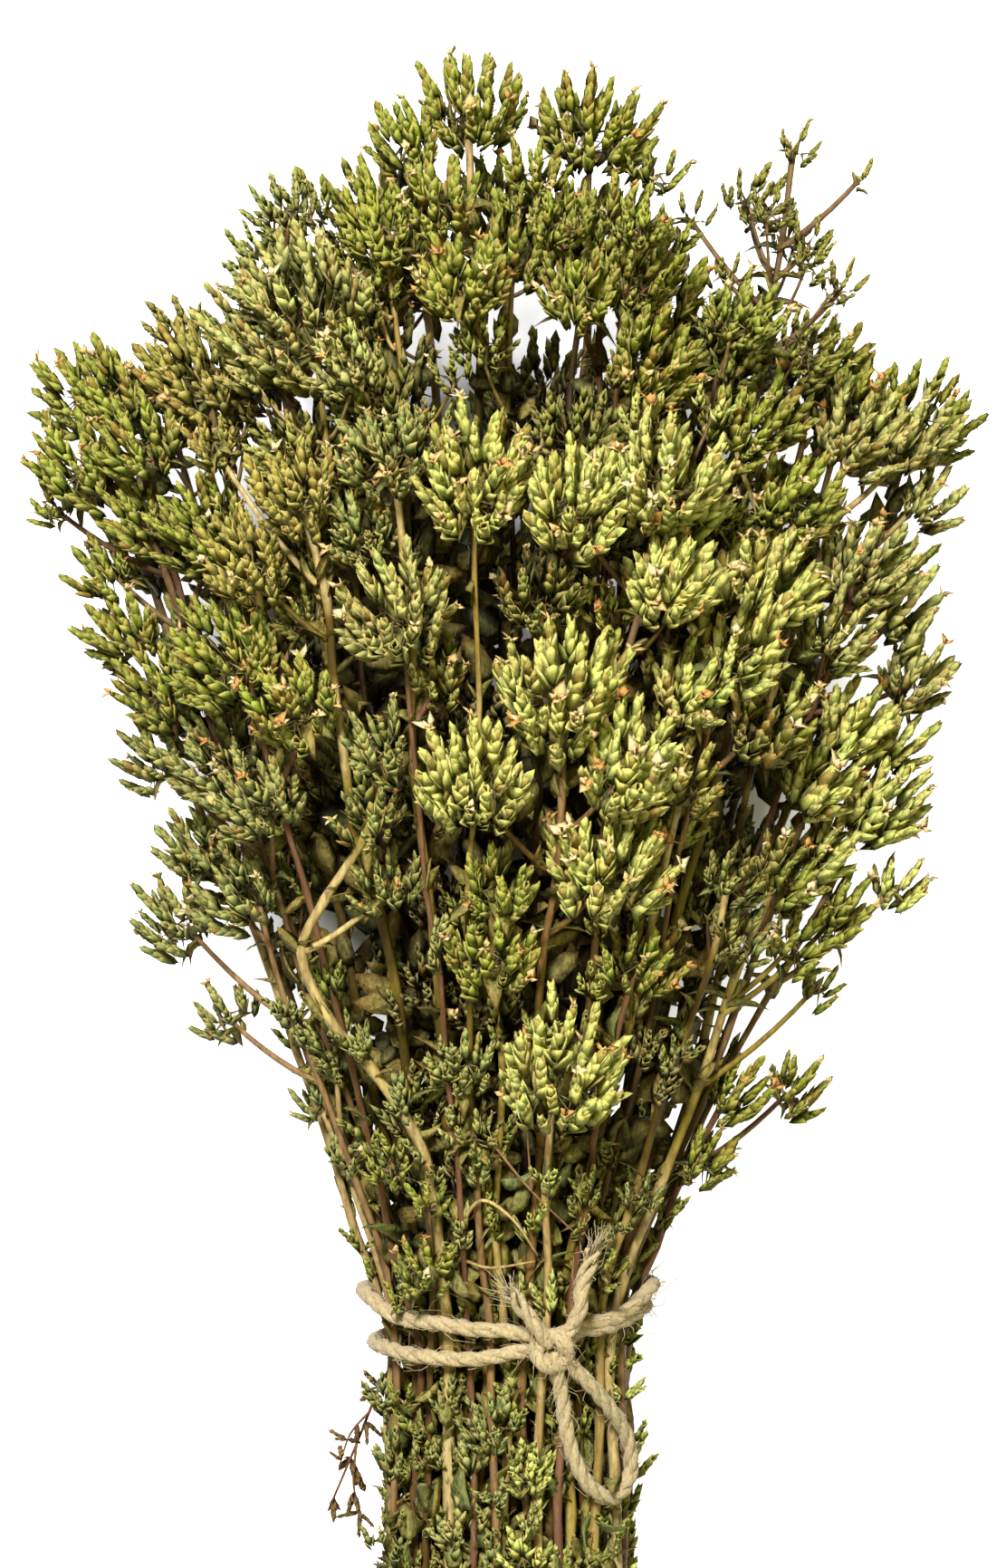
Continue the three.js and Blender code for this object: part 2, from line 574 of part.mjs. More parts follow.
const TURN_STEP = 13;
function twineRoutes() {
  const turns = TURN_STRETCHES.map(([from, to]) => {
    const steps = Math.round((to - from) / TURN_STEP);
    return Array.from({ length: steps + 1 }, (_, i) => twineTurn(from + (to - from) * i / steps));
  });
  return [...turns, BOW_LOOP.map((point) => onNeck(...point)), ...LOOSE_ENDS.map((end) => (
    end.map((point) => onNeck(...point))))];
}

const CORD_SIDES = 6;
const CORD_STRETCH = 5 * TWINE_RADIUS;
function cordSolid(route) {
  const section = new THREE.Shape();
  section.absarc(0, 0, TWINE_RADIUS, 0, 2 * Math.PI);
  const outline = new THREE.Shape(section.getSpacedPoints(CORD_SIDES).slice(0, CORD_SIDES));
  const curve = new THREE.CatmullRomCurve3(route);
  const steps = Math.max(3, Math.round(curve.getLength() / CORD_STRETCH));
  return solidOf(new THREE.ExtrudeGeometry(outline, { steps, bevelEnabled: false, extrudePath: curve }));
}

function twineSolid(routes) {
  const knot = new THREE.IcosahedronGeometry(KNOT_RADIUS, 0);
  knot.scale(...KNOT_STRETCH);
  knot.translate(...onNeck(...KNOT).toArray());
  return routes.map(cordSolid).reduce((whole, piece) => whole.add(piece), solidOf(knot));
}

function meshOf(solid, name, colour, roughness) {
  const { vertProperties, triVerts } = solid.getMesh();
  const geometry = new THREE.BufferGeometry();
  geometry.setAttribute('position', new THREE.BufferAttribute(vertProperties, 3));
  geometry.setIndex(new THREE.BufferAttribute(triVerts, 1));
  geometry.computeVertexNormals();
  const material = new THREE.MeshStandardMaterial({ color: colour, roughness, metalness: 0 });
  const mesh = new THREE.Mesh(geometry, material);
  mesh.name = name;
  return mesh;
}

const bunch = new THREE.Group();
const routes = twineRoutes();
const stems = layOut(routes.flatMap(segmentsOf));
stems.forEach((stem, i) => {
  const name = `stem_${String(i + 1).padStart(2, '0')}`;
  bunch.add(meshOf(stemSolid(stem), name, TINTS[stem.tint], ROUGHNESS.herb));
});
bunch.add(meshOf(twineSolid(routes), 'twine', TWINE_COLOUR, ROUGHNESS.twine));

export default bunch;
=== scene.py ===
# %% [markdown]
# # A dried oregano bunch
#
# The bunch is a few dozen flowering stems, tied at the neck with jute twine and laid on a table. From a
# step away it reads as hundreds of small pale cones. Each cone is a spikelet: pairs of pointed bracts,
# stacked crosswise round a thin axis. The plan is to give a few spikelets in numbers, copy them by the
# thousand with numpy, and put them where the stems' heads are. Numpy is used because a million faces
# made one by one in Python would take far too long.

# %% Load the frame
import math

import bpy
import numpy as np
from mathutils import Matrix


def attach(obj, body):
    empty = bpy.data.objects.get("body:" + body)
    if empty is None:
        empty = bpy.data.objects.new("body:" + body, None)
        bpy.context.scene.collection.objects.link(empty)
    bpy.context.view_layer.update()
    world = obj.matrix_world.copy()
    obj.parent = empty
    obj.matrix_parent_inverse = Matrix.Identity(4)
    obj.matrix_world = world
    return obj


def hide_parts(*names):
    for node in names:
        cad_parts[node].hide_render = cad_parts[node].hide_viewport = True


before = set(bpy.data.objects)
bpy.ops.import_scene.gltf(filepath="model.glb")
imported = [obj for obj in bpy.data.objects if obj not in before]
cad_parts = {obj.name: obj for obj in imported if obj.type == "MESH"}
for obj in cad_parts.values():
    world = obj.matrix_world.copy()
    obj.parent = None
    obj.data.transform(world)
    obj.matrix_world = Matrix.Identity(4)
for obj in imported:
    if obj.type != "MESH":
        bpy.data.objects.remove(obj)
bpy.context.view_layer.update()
MM = 0.001

# %% [markdown]
# ## Where everything lies
#
# The layout works in millimetres from the tie. "Along" is the distance towards the heads, "across" is to
# the right, and "depth" runs from -1 on the underside to 1 on the side that faces up. Each head is
# [across, along, depth, width], with the one that ends the stem first. These are the same values and the
# same rules as the solid model's, so that the fine stems land exactly on the plain ones.

# %% The stems, one row each
TIE = np.array([0.5, -65.0])
CUT_END = -86
NECK_ACROSS, NECK_DEPTH = 19.5, 15
CROWN_ACROSS, CROWN_DEPTH, CROWN_ALONG = 70, 44, 150
CUT_FLARE = 0.05
AXIS_LOW, AXIS_HIGH, AXIS_LEVEL_AT = 18, 41, 120
STEM_RADIUS = 1.0
BRANCH_RADIUS = 0.65
STEM_SPACING = 3.4
GAP = 0.35
LOWEST_BRANCH = 9
HEAD_OPENING = math.radians(80)
HEAD_FULLNESS = 1.22
TWINE_RADIUS = 1.3

FACING_STEMS = [
    ("green", [[-7.5, 209, 0.1, 9], [-17, 203, 0.1, 6.5], [-13, 191, 0.5, 7], [-2, 196, -0.3, 6]]),
    ("olive", [[-24, 195, -0.3, 7.5], [-18, 183, -0.1, 7.5]]),
    ("olive", [[16, 206, 0, 9], [12, 192, -0.2, 6.5], [4.5, 197, 0.2, 5.5]]),
    ("green", [[19, 187, 0.3, 8], [26, 196, 0.2, 4.5], [13, 176, 0.5, 7]]),
    ("green", [[1, 184, 0.3, 8], [-8, 178, 0.6, 7.5]]),
    ("olive", [[26.5, 176, 0.1, 8.5], [33, 170, -0.1, 6], [24, 165, 0.5, 8]]),
    ("green", [[43, 169, 0, 8.5], [46, 156, 0.3, 6]]),
    ("grass", [[49, 201, 0, 3.6], [60, 196, 0, 2.8], [51, 185, 0, 4.5], [38, 180, -0.1, 3.8],
               [32, 190, -0.1, 3.6], [57, 178, 0, 3.8]]),
    ("olive", [[56, 166, -0.2, 8], [62, 159, 0, 6]]),
    ("pale", [[-37.5, 173, 0.5, 13]]),
    ("brown", [[-55, 163, 0.1, 9], [-46, 166, -0.3, 8]]),
    ("green", [[-69, 160, 0, 8], [-74, 149, 0, 9], [-63, 151, 0.3, 7], [-78, 141, -0.2, 4.5]]),
    ("green", [[-64, 140, 0.1, 7.5], [-69, 131, -0.1, 6], [-53, 138, 0.4, 8]]),
    ("dark", [[-23, 165, 0.2, 9.5], [-24, 178, -0.1, 6]]),
    ("brown", [[-36, 142, 0.9, 7.5], [-44, 131, 0.85, 7.5], [-50, 150, 0.6, 4.5]]),
    ("green", [[-66, 121, 0, 7], [-60, 111, 0.3, 8]]),
    ("green", [[-47, 117, 0.8, 9.5], [-36, 108, 0.95, 8], [-36, 122, 0.7, 5.5]]),
    ("grey", [[-50, 100, 0.5, 8.5], [-59, 100, 0, 6.5], [-42, 93, 0.85, 8]]),
    ("grey", [[-46, 78, 0.55, 8.5], [-54, 84, 0.1, 7], [-57, 72, 0, 7.5], [-49, 55, 0, 5]]),
    ("grey", [[-20, 148, 0.9, 7.5], [-25, 136, 0.8, 7]]),
    ("bright", [[-6, 145, 0.95, 9.5]]),
    ("pale", [[-19, 124, 1, 9], [-14, 112, 0.8, 6]]),
    ("bright", [[27, 144, 0.95, 10], [12, 141, 1, 8.5], [28, 129, 1, 8]]),
    ("bright", [[10.5, 111, 1, 11.5], [-6, 98, 1, 9.5], [20, 99, 1.05, 9.5], [18, 83, 1, 9.5]]),
    ("green", [[-3, 79, 0.9, 8], [-3, 68, 0.95, 7.5]]),
    ("bright", [[9, 50, 1.05, 11]]),
    ("green", [[23, 66, 0.95, 6.5]]),
    ("grey", [[-21, 101, 0.95, 6.5], [-24, 91, 0.9, 7], [-23, 79, 0.85, 6.5]]),
    ("bright", [[39, 117, 0.9, 9], [32, 110, 0.9, 6.5], [44, 106, 0.8, 8], [45, 128, 0.8, 8]]),
    ("green", [[49, 142, 0.5, 7.5], [40, 153, 0.6, 6.5]]),
    ("pale", [[61, 153, 0.2, 8], [71, 153, 0, 7.5], [72, 143, -0.1, 6]]),
    ("pale", [[62, 131, 0.4, 7.5], [68, 124, 0.1, 7], [70, 113, 0, 7], [56, 119, 0.7, 6.5]]),
    ("bright", [[60, 106, 0.4, 8], [67, 102, 0, 6]]),
    ("bright", [[64, 92, 0.2, 8], [54, 96, 0.6, 7.5], [55, 86, 0.4, 7], [67, 77, 0, 4.5]]),
    ("green", [[48, 80, 0.6, 6.5], [57, 73, 0.1, 7], [50, 68, 0.5, 6.5], [54, 60, 0, 4]]),
    ("grey", [[39, 79, 0.9, 5.5], [40, 69, 0.8, 5.5]]),
    ("olive", [[40, 43, 0.2, 7], [50, 43, 0, 5.5], [34, 32, 0.4, 6]]),
    ("green", [[-14, 25, 1.15, 4], [-14, 14, 1.15, 5.5]]),
    ("grey", [[-8, 49, 0.95, 6], [-6, 36, 0.95, 5]]),
    ("brown", [[31, 95, 0.9, 6.5]]),
    ("grey", [[-33, 40, 0.3, 4.5], [-30, 52, 0.6, 5]]),
    ("dark", [[6, 125, 0.8, 7]]),
]
# A few stems have a place of their own in the tie, as (across, up), and one is bowed sideways:
# (shift, along, length).
OWN_PLACES = {23: [0.1, 0.8], 25: [0.28, 0.92], 27: [-0.42, 0.9], 37: [-0.62, 0.66]}
BOWED = {27: (-17, 62, 20)}
# The hidden rows: (stems, first turn, last turn, depth, width, steps down from the top of the stem).
HIDDEN_ROWS = [(8, -78, 78, 0.95, 8.5, [0, 27, 52, 78]), (7, -150, 150, 0.5, 8, [0, 28])]
HIDDEN_TINTS = ["green", "olive", "grey"]
TALLEST, EDGE_DROP = 196, 34
print(len(FACING_STEMS), "stems face up and", sum(row[0] for row in HIDDEN_ROWS), "are hidden")

# %% [markdown]
# The bunch is pinched at the tie and fans out above it, so a stem keeps its place in the section and the
# section grows. That is why stems laid out this way never cross.

# %% The shape of the bunch
DOME_LENGTH, SIDE_ROOM, FARTHEST_SIDE = 85, 10, 0.95
WAVE_STEP_A, WAVE_STEP_B, WAVE_HEIGHT = 12.9898, 78.233, 43758.5453


def clamp(value, low=0.0, high=1.0):
    return min(max(value, low), high)


def smooth(value, low, high):
    t = clamp((value - low) / (high - low))
    return t * t * (3 - 2 * t)


def fan(along):
    return along / CROWN_ALONG if along > 0 else CUT_FLARE * (along / CUT_END) ** 2


def half_across(along):
    return NECK_ACROSS + (CROWN_ACROSS - NECK_ACROSS) * fan(along)


def half_depth(along):
    return NECK_DEPTH + (CROWN_DEPTH - NECK_DEPTH) * fan(along)


def axis_height(along):
    return AXIS_LOW + (AXIS_HIGH - AXIS_LOW) * smooth(along, CUT_END, AXIS_LEVEL_AT)


def crown_height(across, along):
    dome = math.sqrt(1 - max(0, (along - CROWN_ALONG) / DOME_LENGTH) ** 2)
    side = min(FARTHEST_SIDE, abs(across) / (half_across(along) + SIDE_ROOM))
    return half_depth(min(along, CROWN_ALONG)) * dome * math.sqrt(1 - side * side)


def uneven(a, b=0):
    """A number from 0 to 1 that depends only on a and b: what a steep sine has after the point."""
    wave = math.sin(a * WAVE_STEP_A + b * WAVE_STEP_B) * WAVE_HEIGHT
    return wave - math.floor(wave)


def unit(vector):
    return vector / np.linalg.norm(vector)


def section_place(point):
    """Where a point lies in the bunch's section: 1 is the edge of the fan of stems."""
    along = point[1] - TIE[1]
    across = (point[0] - TIE[0]) / half_across(along)
    return np.array([across, (point[2] - axis_height(along)) / half_depth(along)])


wide, high = 2 * half_across(CROWN_ALONG), 2 * half_depth(CROWN_ALONG)
print("at the crown the stems fan out to", wide, "by", high, "mm")

# %% [markdown]
# A head leans away from the bunch's axis, the more the farther out it sits. The hidden stems of the back
# and the inside follow a rule in place of a table, because the photo doesn't show them.

# %% Stems and heads as plain records
LEAN, LOOSE_LEAN, FULL_LEAN_AT, LEAN_CENTRE = 0.75, 0.3, 45, 0.9
FOOT_BELOW = 0.75
TOP_UNEVENNESS, STAGGER, OVERHANG = 14, 0.16, 6
SMALLEST_HEAD, HEAD_SPREAD = 0.86, 0.28


class Head:
    def __init__(self, row, hidden, thin):
        across, along, depth, width = row
        surface = half_depth(min(along, CROWN_ALONG)) if hidden else crown_height(across, along)
        self.radius = width * HEAD_FULLNESS
        self.middle = np.array([TIE[0] + across, TIE[1] + along, axis_height(along) + depth * surface])
        out = np.array([across, 0, self.middle[2] - LEAN_CENTRE * axis_height(along)])
        lean = (LOOSE_LEAN if thin else LEAN) * min(1, np.linalg.norm(out) / FULL_LEAN_AT)
        self.axis = unit(unit(out) * lean + np.array([0, 1.0, 0]))
        self.foot = self.middle - FOOT_BELOW * self.radius * self.axis


class Stem:
    def __init__(self, number, tint, rows, hidden=False):
        self.number, self.tint, self.hidden = number, tint, hidden
        self.heads = [Head(row, hidden, tint == "grass") for row in rows]
        self.branches = []


def hidden_rows():
    for r, (count, first, last, depth, width, steps) in enumerate(HIDDEN_ROWS):
        for i in range(count):
            turn = math.radians(first + (last - first) * i / (count - 1))
            top = TALLEST - EDGE_DROP * abs(math.sin(turn)) * depth - TOP_UNEVENNESS * uneven(i, r + 1)
            rows = []
            for k, step in enumerate(steps):
                along = top - step
                side = turn + (STAGGER if k % 2 else -STAGGER) * (k > 0)
                across = (half_across(along) + OVERHANG) * depth * math.sin(side)
                size = width * (SMALLEST_HEAD + HEAD_SPREAD * uneven(i, k + r + 1))
                rows.append([across, along, -depth * math.cos(side), size])
            yield HIDDEN_TINTS[(i + r) % len(HIDDEN_TINTS)], rows


stems = [Stem(i, *row) for i, row in enumerate(FACING_STEMS)]
stems += [Stem(len(stems) + i, *row, hidden=True) for i, row in enumerate(hidden_rows())]
print(len(stems), "stems and", sum(len(stem.heads) for stem in stems), "heads")

# %% [markdown]
# ## Room for everything
#
# Packed stems push each other apart where they pass through the tie. The same idea is used for each head:
# it moves off a stem that would run through it, and it keeps to its own side of a flat wall between it and
# each neighbour. That is how soft heads share the space in a real bunch.

# %% Places in the tie
PUSH_ROUNDS, PUSH_SHARE = 200, 0.3
BOW_FADE = 6
STRETCH, BOWED_STRETCHES, CUT_UNEVENNESS = 55, 9, 9


def take_places_in_tie():
    size = np.array([NECK_ACROSS, NECK_DEPTH])

    def inside(place):
        return place / np.maximum(1, np.linalg.norm(place, axis=1))[:, None]

    wanted = [OWN_PLACES.get(stem.number) for stem in stems]
    places = np.array([section_place(stem.heads[0].foot) if own is None else own
                       for stem, own in zip(stems, wanted)])
    places = inside(places) * size
    for _ in range(PUSH_ROUNDS):
        away = places[:, None] - places[None]
        near = np.linalg.norm(away, axis=2)
        lack = np.where((near > 0) & (near < STEM_SPACING), STEM_SPACING - near, 0)
        push = lack * PUSH_SHARE / np.maximum(near, 1e-9)
        places = inside((places + (away * push[..., None]).sum(axis=1)) / size) * size
    for stem, place in zip(stems, places / size):
        stem.place = place


def on_stem(stem, along):
    top = stem.heads[0].foot
    t = clamp(along / (top[1] - TIE[1]))
    place = stem.place + (section_place(top) - stem.place) * t
    shift, at, length = BOWED.get(stem.number, (0, 0, 1))
    faded = min(1, t * BOW_FADE, (1 - t) * BOW_FADE)
    bow = shift * math.exp(-(((along - at) / length) ** 2)) * faded
    return np.array([TIE[0] + place[0] * half_across(along) + bow, TIE[1] + along,
                     axis_height(along) + place[1] * half_depth(along)])


def draw_stem(stem):
    end = stem.heads[0].foot[1] - TIE[1]
    steps = BOWED_STRETCHES if stem.number in BOWED else math.ceil(end / STRETCH)
    cut = CUT_END + CUT_UNEVENNESS * uneven(stem.number, 5)
    levels = [cut] + [end * k / steps for k in range(steps + 1)]
    stem.line = np.array([on_stem(stem, along) for along in levels])
    stem.segments = np.stack([stem.line[:-1], stem.line[1:]], axis=1)


take_places_in_tie()
for stem in stems:
    draw_stem(stem)
at_tie = np.array([on_stem(stem, 0) for stem in stems])
apart = np.linalg.norm(at_tie[:, None] - at_tie[None], axis=2)
print("the stems pass the tie", round(float(apart[apart > 0].min()), 2), "mm apart or more")


# %% Heads move off other stems
def closest(one, many):
    """The closest points of one segment [2, 3] and each of many segments [n, 2, 3]."""
    p, r = one[0], many[:, 0]
    u, v, w = one[1] - p, many[:, 1] - r, p - r
    uu, vv, uv, uw, vw = u @ u, (v * v).sum(1), v @ u, w @ u, (v * w).sum(1)
    spread = uu * vv - uv * uv
    a = np.where(spread > 1e-9, np.clip((uv * vw - uw * vv) / np.maximum(spread, 1e-9), 0, 1), 0)
    b = np.clip((a * uv + vw) / vv, 0, 1)
    a = np.clip((b * uv - uw) / uu, 0, 1)
    return p + a[:, None] * u, r + b[:, None] * v


HEAD_ROOM, MOVE_ROUNDS = 3.2, 4
NEARBY = 2.5 * HEAD_ROOM
for _ in range(MOVE_ROUNDS):
    for stem in stems:
        others = np.concatenate([other.segments for other in stems if other is not stem])
        for head in stem.heads:
            mine, theirs = closest(np.array([head.foot, head.middle]), others)
            near = np.linalg.norm(mine - theirs, axis=1) < NEARBY
            for segment in others[near]:
                mine, theirs = closest(np.array([head.foot, head.middle]), segment[None])
                away = (mine - theirs)[0]
                lack = HEAD_ROOM - np.linalg.norm(away)
                if lack > 0:
                    head.foot = head.foot + unit(away) * lack
                    head.middle = head.middle + unit(away) * lack
    for stem in stems:
        draw_stem(stem)
print("top head of the first stem at", stems[0].heads[0].middle.round(2))

# %% [markdown]
# Each side head hangs on a branch that leaves the stem lower down. Several slopes are tried, and the first
# that keeps clear of the other stems is taken, or else the clearest.

# %% Side branches
BELOW_HEAD, HEAD_CORE = 2, 1.5
BRANCH_SLOPES = [1, 0.7, 1.4, 0.45, 1.9, 0.25, 2.5]
CLEARER_BY = 0.01


def on_drawn_stem(stem, along):
    level = TIE[1] + clamp(along, LOWEST_BRANCH, stem.heads[0].foot[1] - TIE[1] - BELOW_HEAD)
    start, end = next(pair for pair in stem.segments if pair[1][1] > level)
    return start + (end - start) * (level - start[1]) / (end[1] - start[1])


def bodies_of(stem):
    """The segments that other pieces keep clear of, and their thicknesses."""
    pairs = list(stem.segments) + list(stem.branches)
    thick = [STEM_RADIUS] * len(stem.segments) + [BRANCH_RADIUS] * len(stem.branches)
    return np.array(pairs), np.array(thick)


def side_branch(stem, head, segments, radii):
    level = head.foot[1] - TIE[1]
    side = np.linalg.norm(on_drawn_stem(stem, level) - head.foot)
    best, branch = -math.inf, None
    for slope in BRANCH_SLOPES:
        pair = np.array([on_drawn_stem(stem, level - slope * side), head.foot])
        mine, theirs = closest(pair, segments)
        clear = (np.linalg.norm(mine - theirs, axis=1) - radii).min()
        if clear > best + CLEARER_BY:
            best, branch = clear, pair
        if clear > BRANCH_RADIUS + GAP:
            break
    return branch


for stem in stems:
    segments, radii = [], []
    for other in stems:
        if other is not stem:
            pairs, thick = bodies_of(other)
            segments += [pairs, np.array([[head.foot, head.middle] for head in other.heads])]
            radii += [thick, np.full(len(other.heads), HEAD_CORE)]
    segments, radii = np.concatenate(segments), np.concatenate(radii)
    stem.branches = [side_branch(stem, head, segments, radii) for head in stem.heads[1:]]
print(sum(len(stem.branches) for stem in stems), "side branches")

# %% [markdown]
# ## The twine's way round the neck
#
# The twine is one cord: two turns, a slip bow with one loop, and two loose ends. Its turns are given as
# [degrees to the left from the top, along], and the loose parts as [across, along, height over the stems].

# %% The twine's route
TWINE_TURNS = np.array([[-20, -2.6], [20, -4.6], [90, -3.3], [180, -1], [270, 3], [325, 0.2], [345, -0.6],
                        [365, 0.4], [400, 1.6], [450, 5.7], [540, 4.5], [630, 6.6], [680, 1.4], [700, -2]])
KNOT = [7.5, -2.4, 2.2]
BOW_LOOP = [[7.5, -3, 2.4], [9, -10, 2], [10.5, -19, 1.4], [13.5, -26, 1.1], [18, -29, 1.1],
            [21, -25, 1.2], [20, -18, 1.6], [15.5, -11, 2], [9.5, -4, 2.4]]
LOOSE_ENDS = [[[7, -2, 2.6], [4, 2.5, 3.4], [0.5, 7.2, 2.6]],
              [[9, -1.5, 2.6], [12, 3.5, 3.4], [12.5, 8, 2.4], [14.5, 14, 0.8]]]
TWINE_OFF = STEM_RADIUS + GAP + TWINE_RADIUS + 0.5
TURN_STEP = 6
NECK_EDGE = 0.98


def on_neck(across, along, height=0.0):
    side = min(NECK_EDGE, abs(across) / (half_across(along) + TWINE_OFF))
    up = (half_depth(along) + TWINE_OFF) * math.sqrt(1 - side * side) + height
    return np.array([TIE[0] + across, TIE[1] + along, axis_height(along) + up])


def twine_turn(degrees):
    k = max(1, int(np.searchsorted(TWINE_TURNS[:, 0], degrees - 1e-6)))
    (turn_a, along_a), (turn_b, along_b) = TWINE_TURNS[k - 1], TWINE_TURNS[k]
    t = clamp((degrees - turn_a) / (turn_b - turn_a))
    along = along_a + (along_b - along_a) * t ** 3 * (t * (6 * t - 15) + 10)
    turn = math.radians(degrees)
    return np.array([TIE[0] - (half_across(along) + TWINE_OFF) * math.sin(turn), TIE[1] + along,
                     axis_height(along) + (half_depth(along) + TWINE_OFF) * math.cos(turn)])


first_turn, last_turn = TWINE_TURNS[0, 0], TWINE_TURNS[-1, 0]
turns_route = np.array([twine_turn(turn) for turn in np.arange(first_turn, last_turn + 1, TURN_STEP)])
loop_route = np.array([on_neck(*point) for point in BOW_LOOP])
end_routes = [np.array([on_neck(*point) for point in route]) for route in LOOSE_ENDS]
twine_segments = np.stack([turns_route[:-1], turns_route[1:]], axis=1)
round_neck = np.linalg.norm(np.diff(turns_route, axis=0), axis=1).sum()
print("twine goes round the neck in", round(float(round_neck)), "mm")

# %% [markdown]
# Now each head gets its walls. A wall to another head stands between the two by their sizes, and one to a
# stem, a branch or the twine stands on that piece's own surface.

# %% Walls round each head
OVER_TABLE = 1.0


def walls_round(head, stem):
    """Normals [n, 3] and limits [n] of the planes that a head stays behind."""
    spine = np.array([head.foot, head.middle])
    segments, radii = [twine_segments], [np.full(len(twine_segments), TWINE_RADIUS)]
    shares = [np.ones(len(twine_segments))]
    for other in stems:
        if other is not stem:
            pairs, thick = bodies_of(other)
            segments.append(pairs)
            radii.append(thick)
            shares.append(np.ones(len(pairs)))
        rivals = [rival for rival in other.heads if rival is not head]
        if rivals:
            segments.append(np.array([[rival.foot, rival.middle] for rival in rivals]))
            radii.append(np.zeros(len(rivals)))
            shares.append(np.array([head.radius / (head.radius + rival.radius) for rival in rivals]))
    segments, radii, shares = (np.concatenate(part) for part in (segments, radii, shares))
    mine, theirs = closest(spine, segments)
    away = theirs - mine
    gap = np.linalg.norm(away, axis=1)
    normals = away / gap[:, None]
    return normals, (normals * mine).sum(1) + (gap - radii - GAP) * shares


def reach(head, directions):
    """How far rays [n, 3] from a head's foot run before they meet a wall or come close to the table."""
    normals, limits = head.walls
    slopes = directions @ normals.T
    room = limits - normals @ head.foot
    free = np.where(slopes > 1e-6, room / np.maximum(slopes, 1e-6), np.inf).min(axis=1)
    down = -directions[:, 2]
    low = np.where(down > 1e-6, (head.foot[2] - OVER_TABLE) / np.maximum(down, 1e-6), np.inf)
    return np.minimum(free, low)


for stem in stems:
    for head in stem.heads:
        head.walls = walls_round(head, stem)
print("walls round the first head:", len(stems[0].heads[0].walls[1]))

# %% [markdown]
# ## Meshes by the thousand
#
# A Heap takes small closed meshes, all in millimetres, and makes one Blender mesh of them. Every point
# carries two colours that the materials read: "tint" is the plant's own colour there, and "tone" holds
# how far along the bract or leaf the point is, a random number for each one, and 1 on its rim. Blender
# takes lists of points and faces too, but whole numpy arrays go in many times faster.

# %% A heap of small meshes
FLOOR_CLEARANCE = 0.03


class Heap:
    def __init__(self):
        self.points, self.faces, self.looks, self.tints, self.tones = [], [], [], [], []
        self.count = 0

    def add(self, shape, look, tint):
        """Adds a shape (points, faces, tones) in one tint, or in a tint for each of its points."""
        points, faces, tones = shape
        points = np.asarray(points, float).reshape(-1, 3)
        self.points.append(points)
        self.faces.append(np.asarray(faces, int).reshape(-1, 3) + self.count)
        self.looks.append(np.full(len(self.faces[-1]), look))
        self.tints.append(np.broadcast_to(tint, points.shape))
        self.tones.append(tones)
        self.count += len(points)

    def add_copies(self, shape, frames, places, look, tints):
        """Adds copies of a shape (points, faces, tones), turned by frames [n, 3, 3] and moved to places."""
        points, faces, tones = shape
        copies = np.einsum("vj,njk->nvk", points, frames) + places[:, None]
        shifts = (np.arange(len(places)) * len(points))[:, None, None]
        tints = np.repeat(tints, len(points), axis=0)
        self.add((copies, faces[None] + shifts, np.tile(tones, (len(places), 1))), look, tints)

    def make(self, name, materials):
        points = np.concatenate(self.points)
        points[:, 2] = np.maximum(points[:, 2], FLOOR_CLEARANCE)
        faces = np.concatenate(self.faces)
        mesh = bpy.data.meshes.new(name)
        mesh.vertices.add(len(points))
        mesh.vertices.foreach_set("co", (points * MM).ravel())
        mesh.loops.add(faces.size)
        mesh.loops.foreach_set("vertex_index", faces.ravel())
        mesh.polygons.add(len(faces))
        mesh.polygons.foreach_set("loop_start", np.arange(0, faces.size, 3))
        mesh.polygons.foreach_set("use_smooth", np.ones(len(faces), bool))
        for material in materials:
            mesh.materials.append(material)
        mesh.polygons.foreach_set("material_index", np.concatenate(self.looks))
        for label, rows in (("tint", self.tints), ("tone", self.tones)):
            colours = np.ones((len(points), 4))
            colours[:, :3] = np.concatenate(rows)
            mesh.attributes.new(label, "FLOAT_COLOR", "POINT").data.foreach_set("color", colours.ravel())
        mesh.update(calc_edges=True)
        piece = bpy.data.objects.new(name, mesh)
        bpy.context.scene.collection.objects.link(piece)
        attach(piece, "root")
        return piece


def frames_along(directions, rolls):
    """Turning frames [n, 3, 3] whose second row points along each direction, rolled about it."""
    helper = np.where(np.abs(directions[:, 2:]) < 0.9, [[0.0, 0.0, 1.0]], [[1.0, 0.0, 0.0]])
    side = np.cross(directions, helper)
    side /= np.linalg.norm(side, axis=1)[:, None]
    up = np.cross(side, directions)
    c, s = np.cos(rolls)[:, None], np.sin(rolls)[:, None]
    return np.stack([side * c + up * s, directions, up * c - side * s], axis=1)


print("a frame along the bunch:", frames_along(np.array([[0, 1.0, 0]]), np.zeros(1))[0].tolist())

# %% [markdown]
# ## Bracts, petals and leaves
#
# All three are blades: a pointed oval, folded along its rib and curled. A single sheet would do from one
# side, but it has no inside and no thickness, so each blade is a thin closed solid. It has a few stations
# along its length, each with a point on either edge and one above and one below on the rib. Two stations
# make 16 triangles, which is plenty for a bract 4 mm long.

# %% One blade
FOOT_POWER, TIP_POWER = 0.55, 0.75
# The greatest value of t ** FOOT_POWER * (1 - t) ** TIP_POWER.
WIDEST = 0.4125
CURL_SHORTENS = 0.3


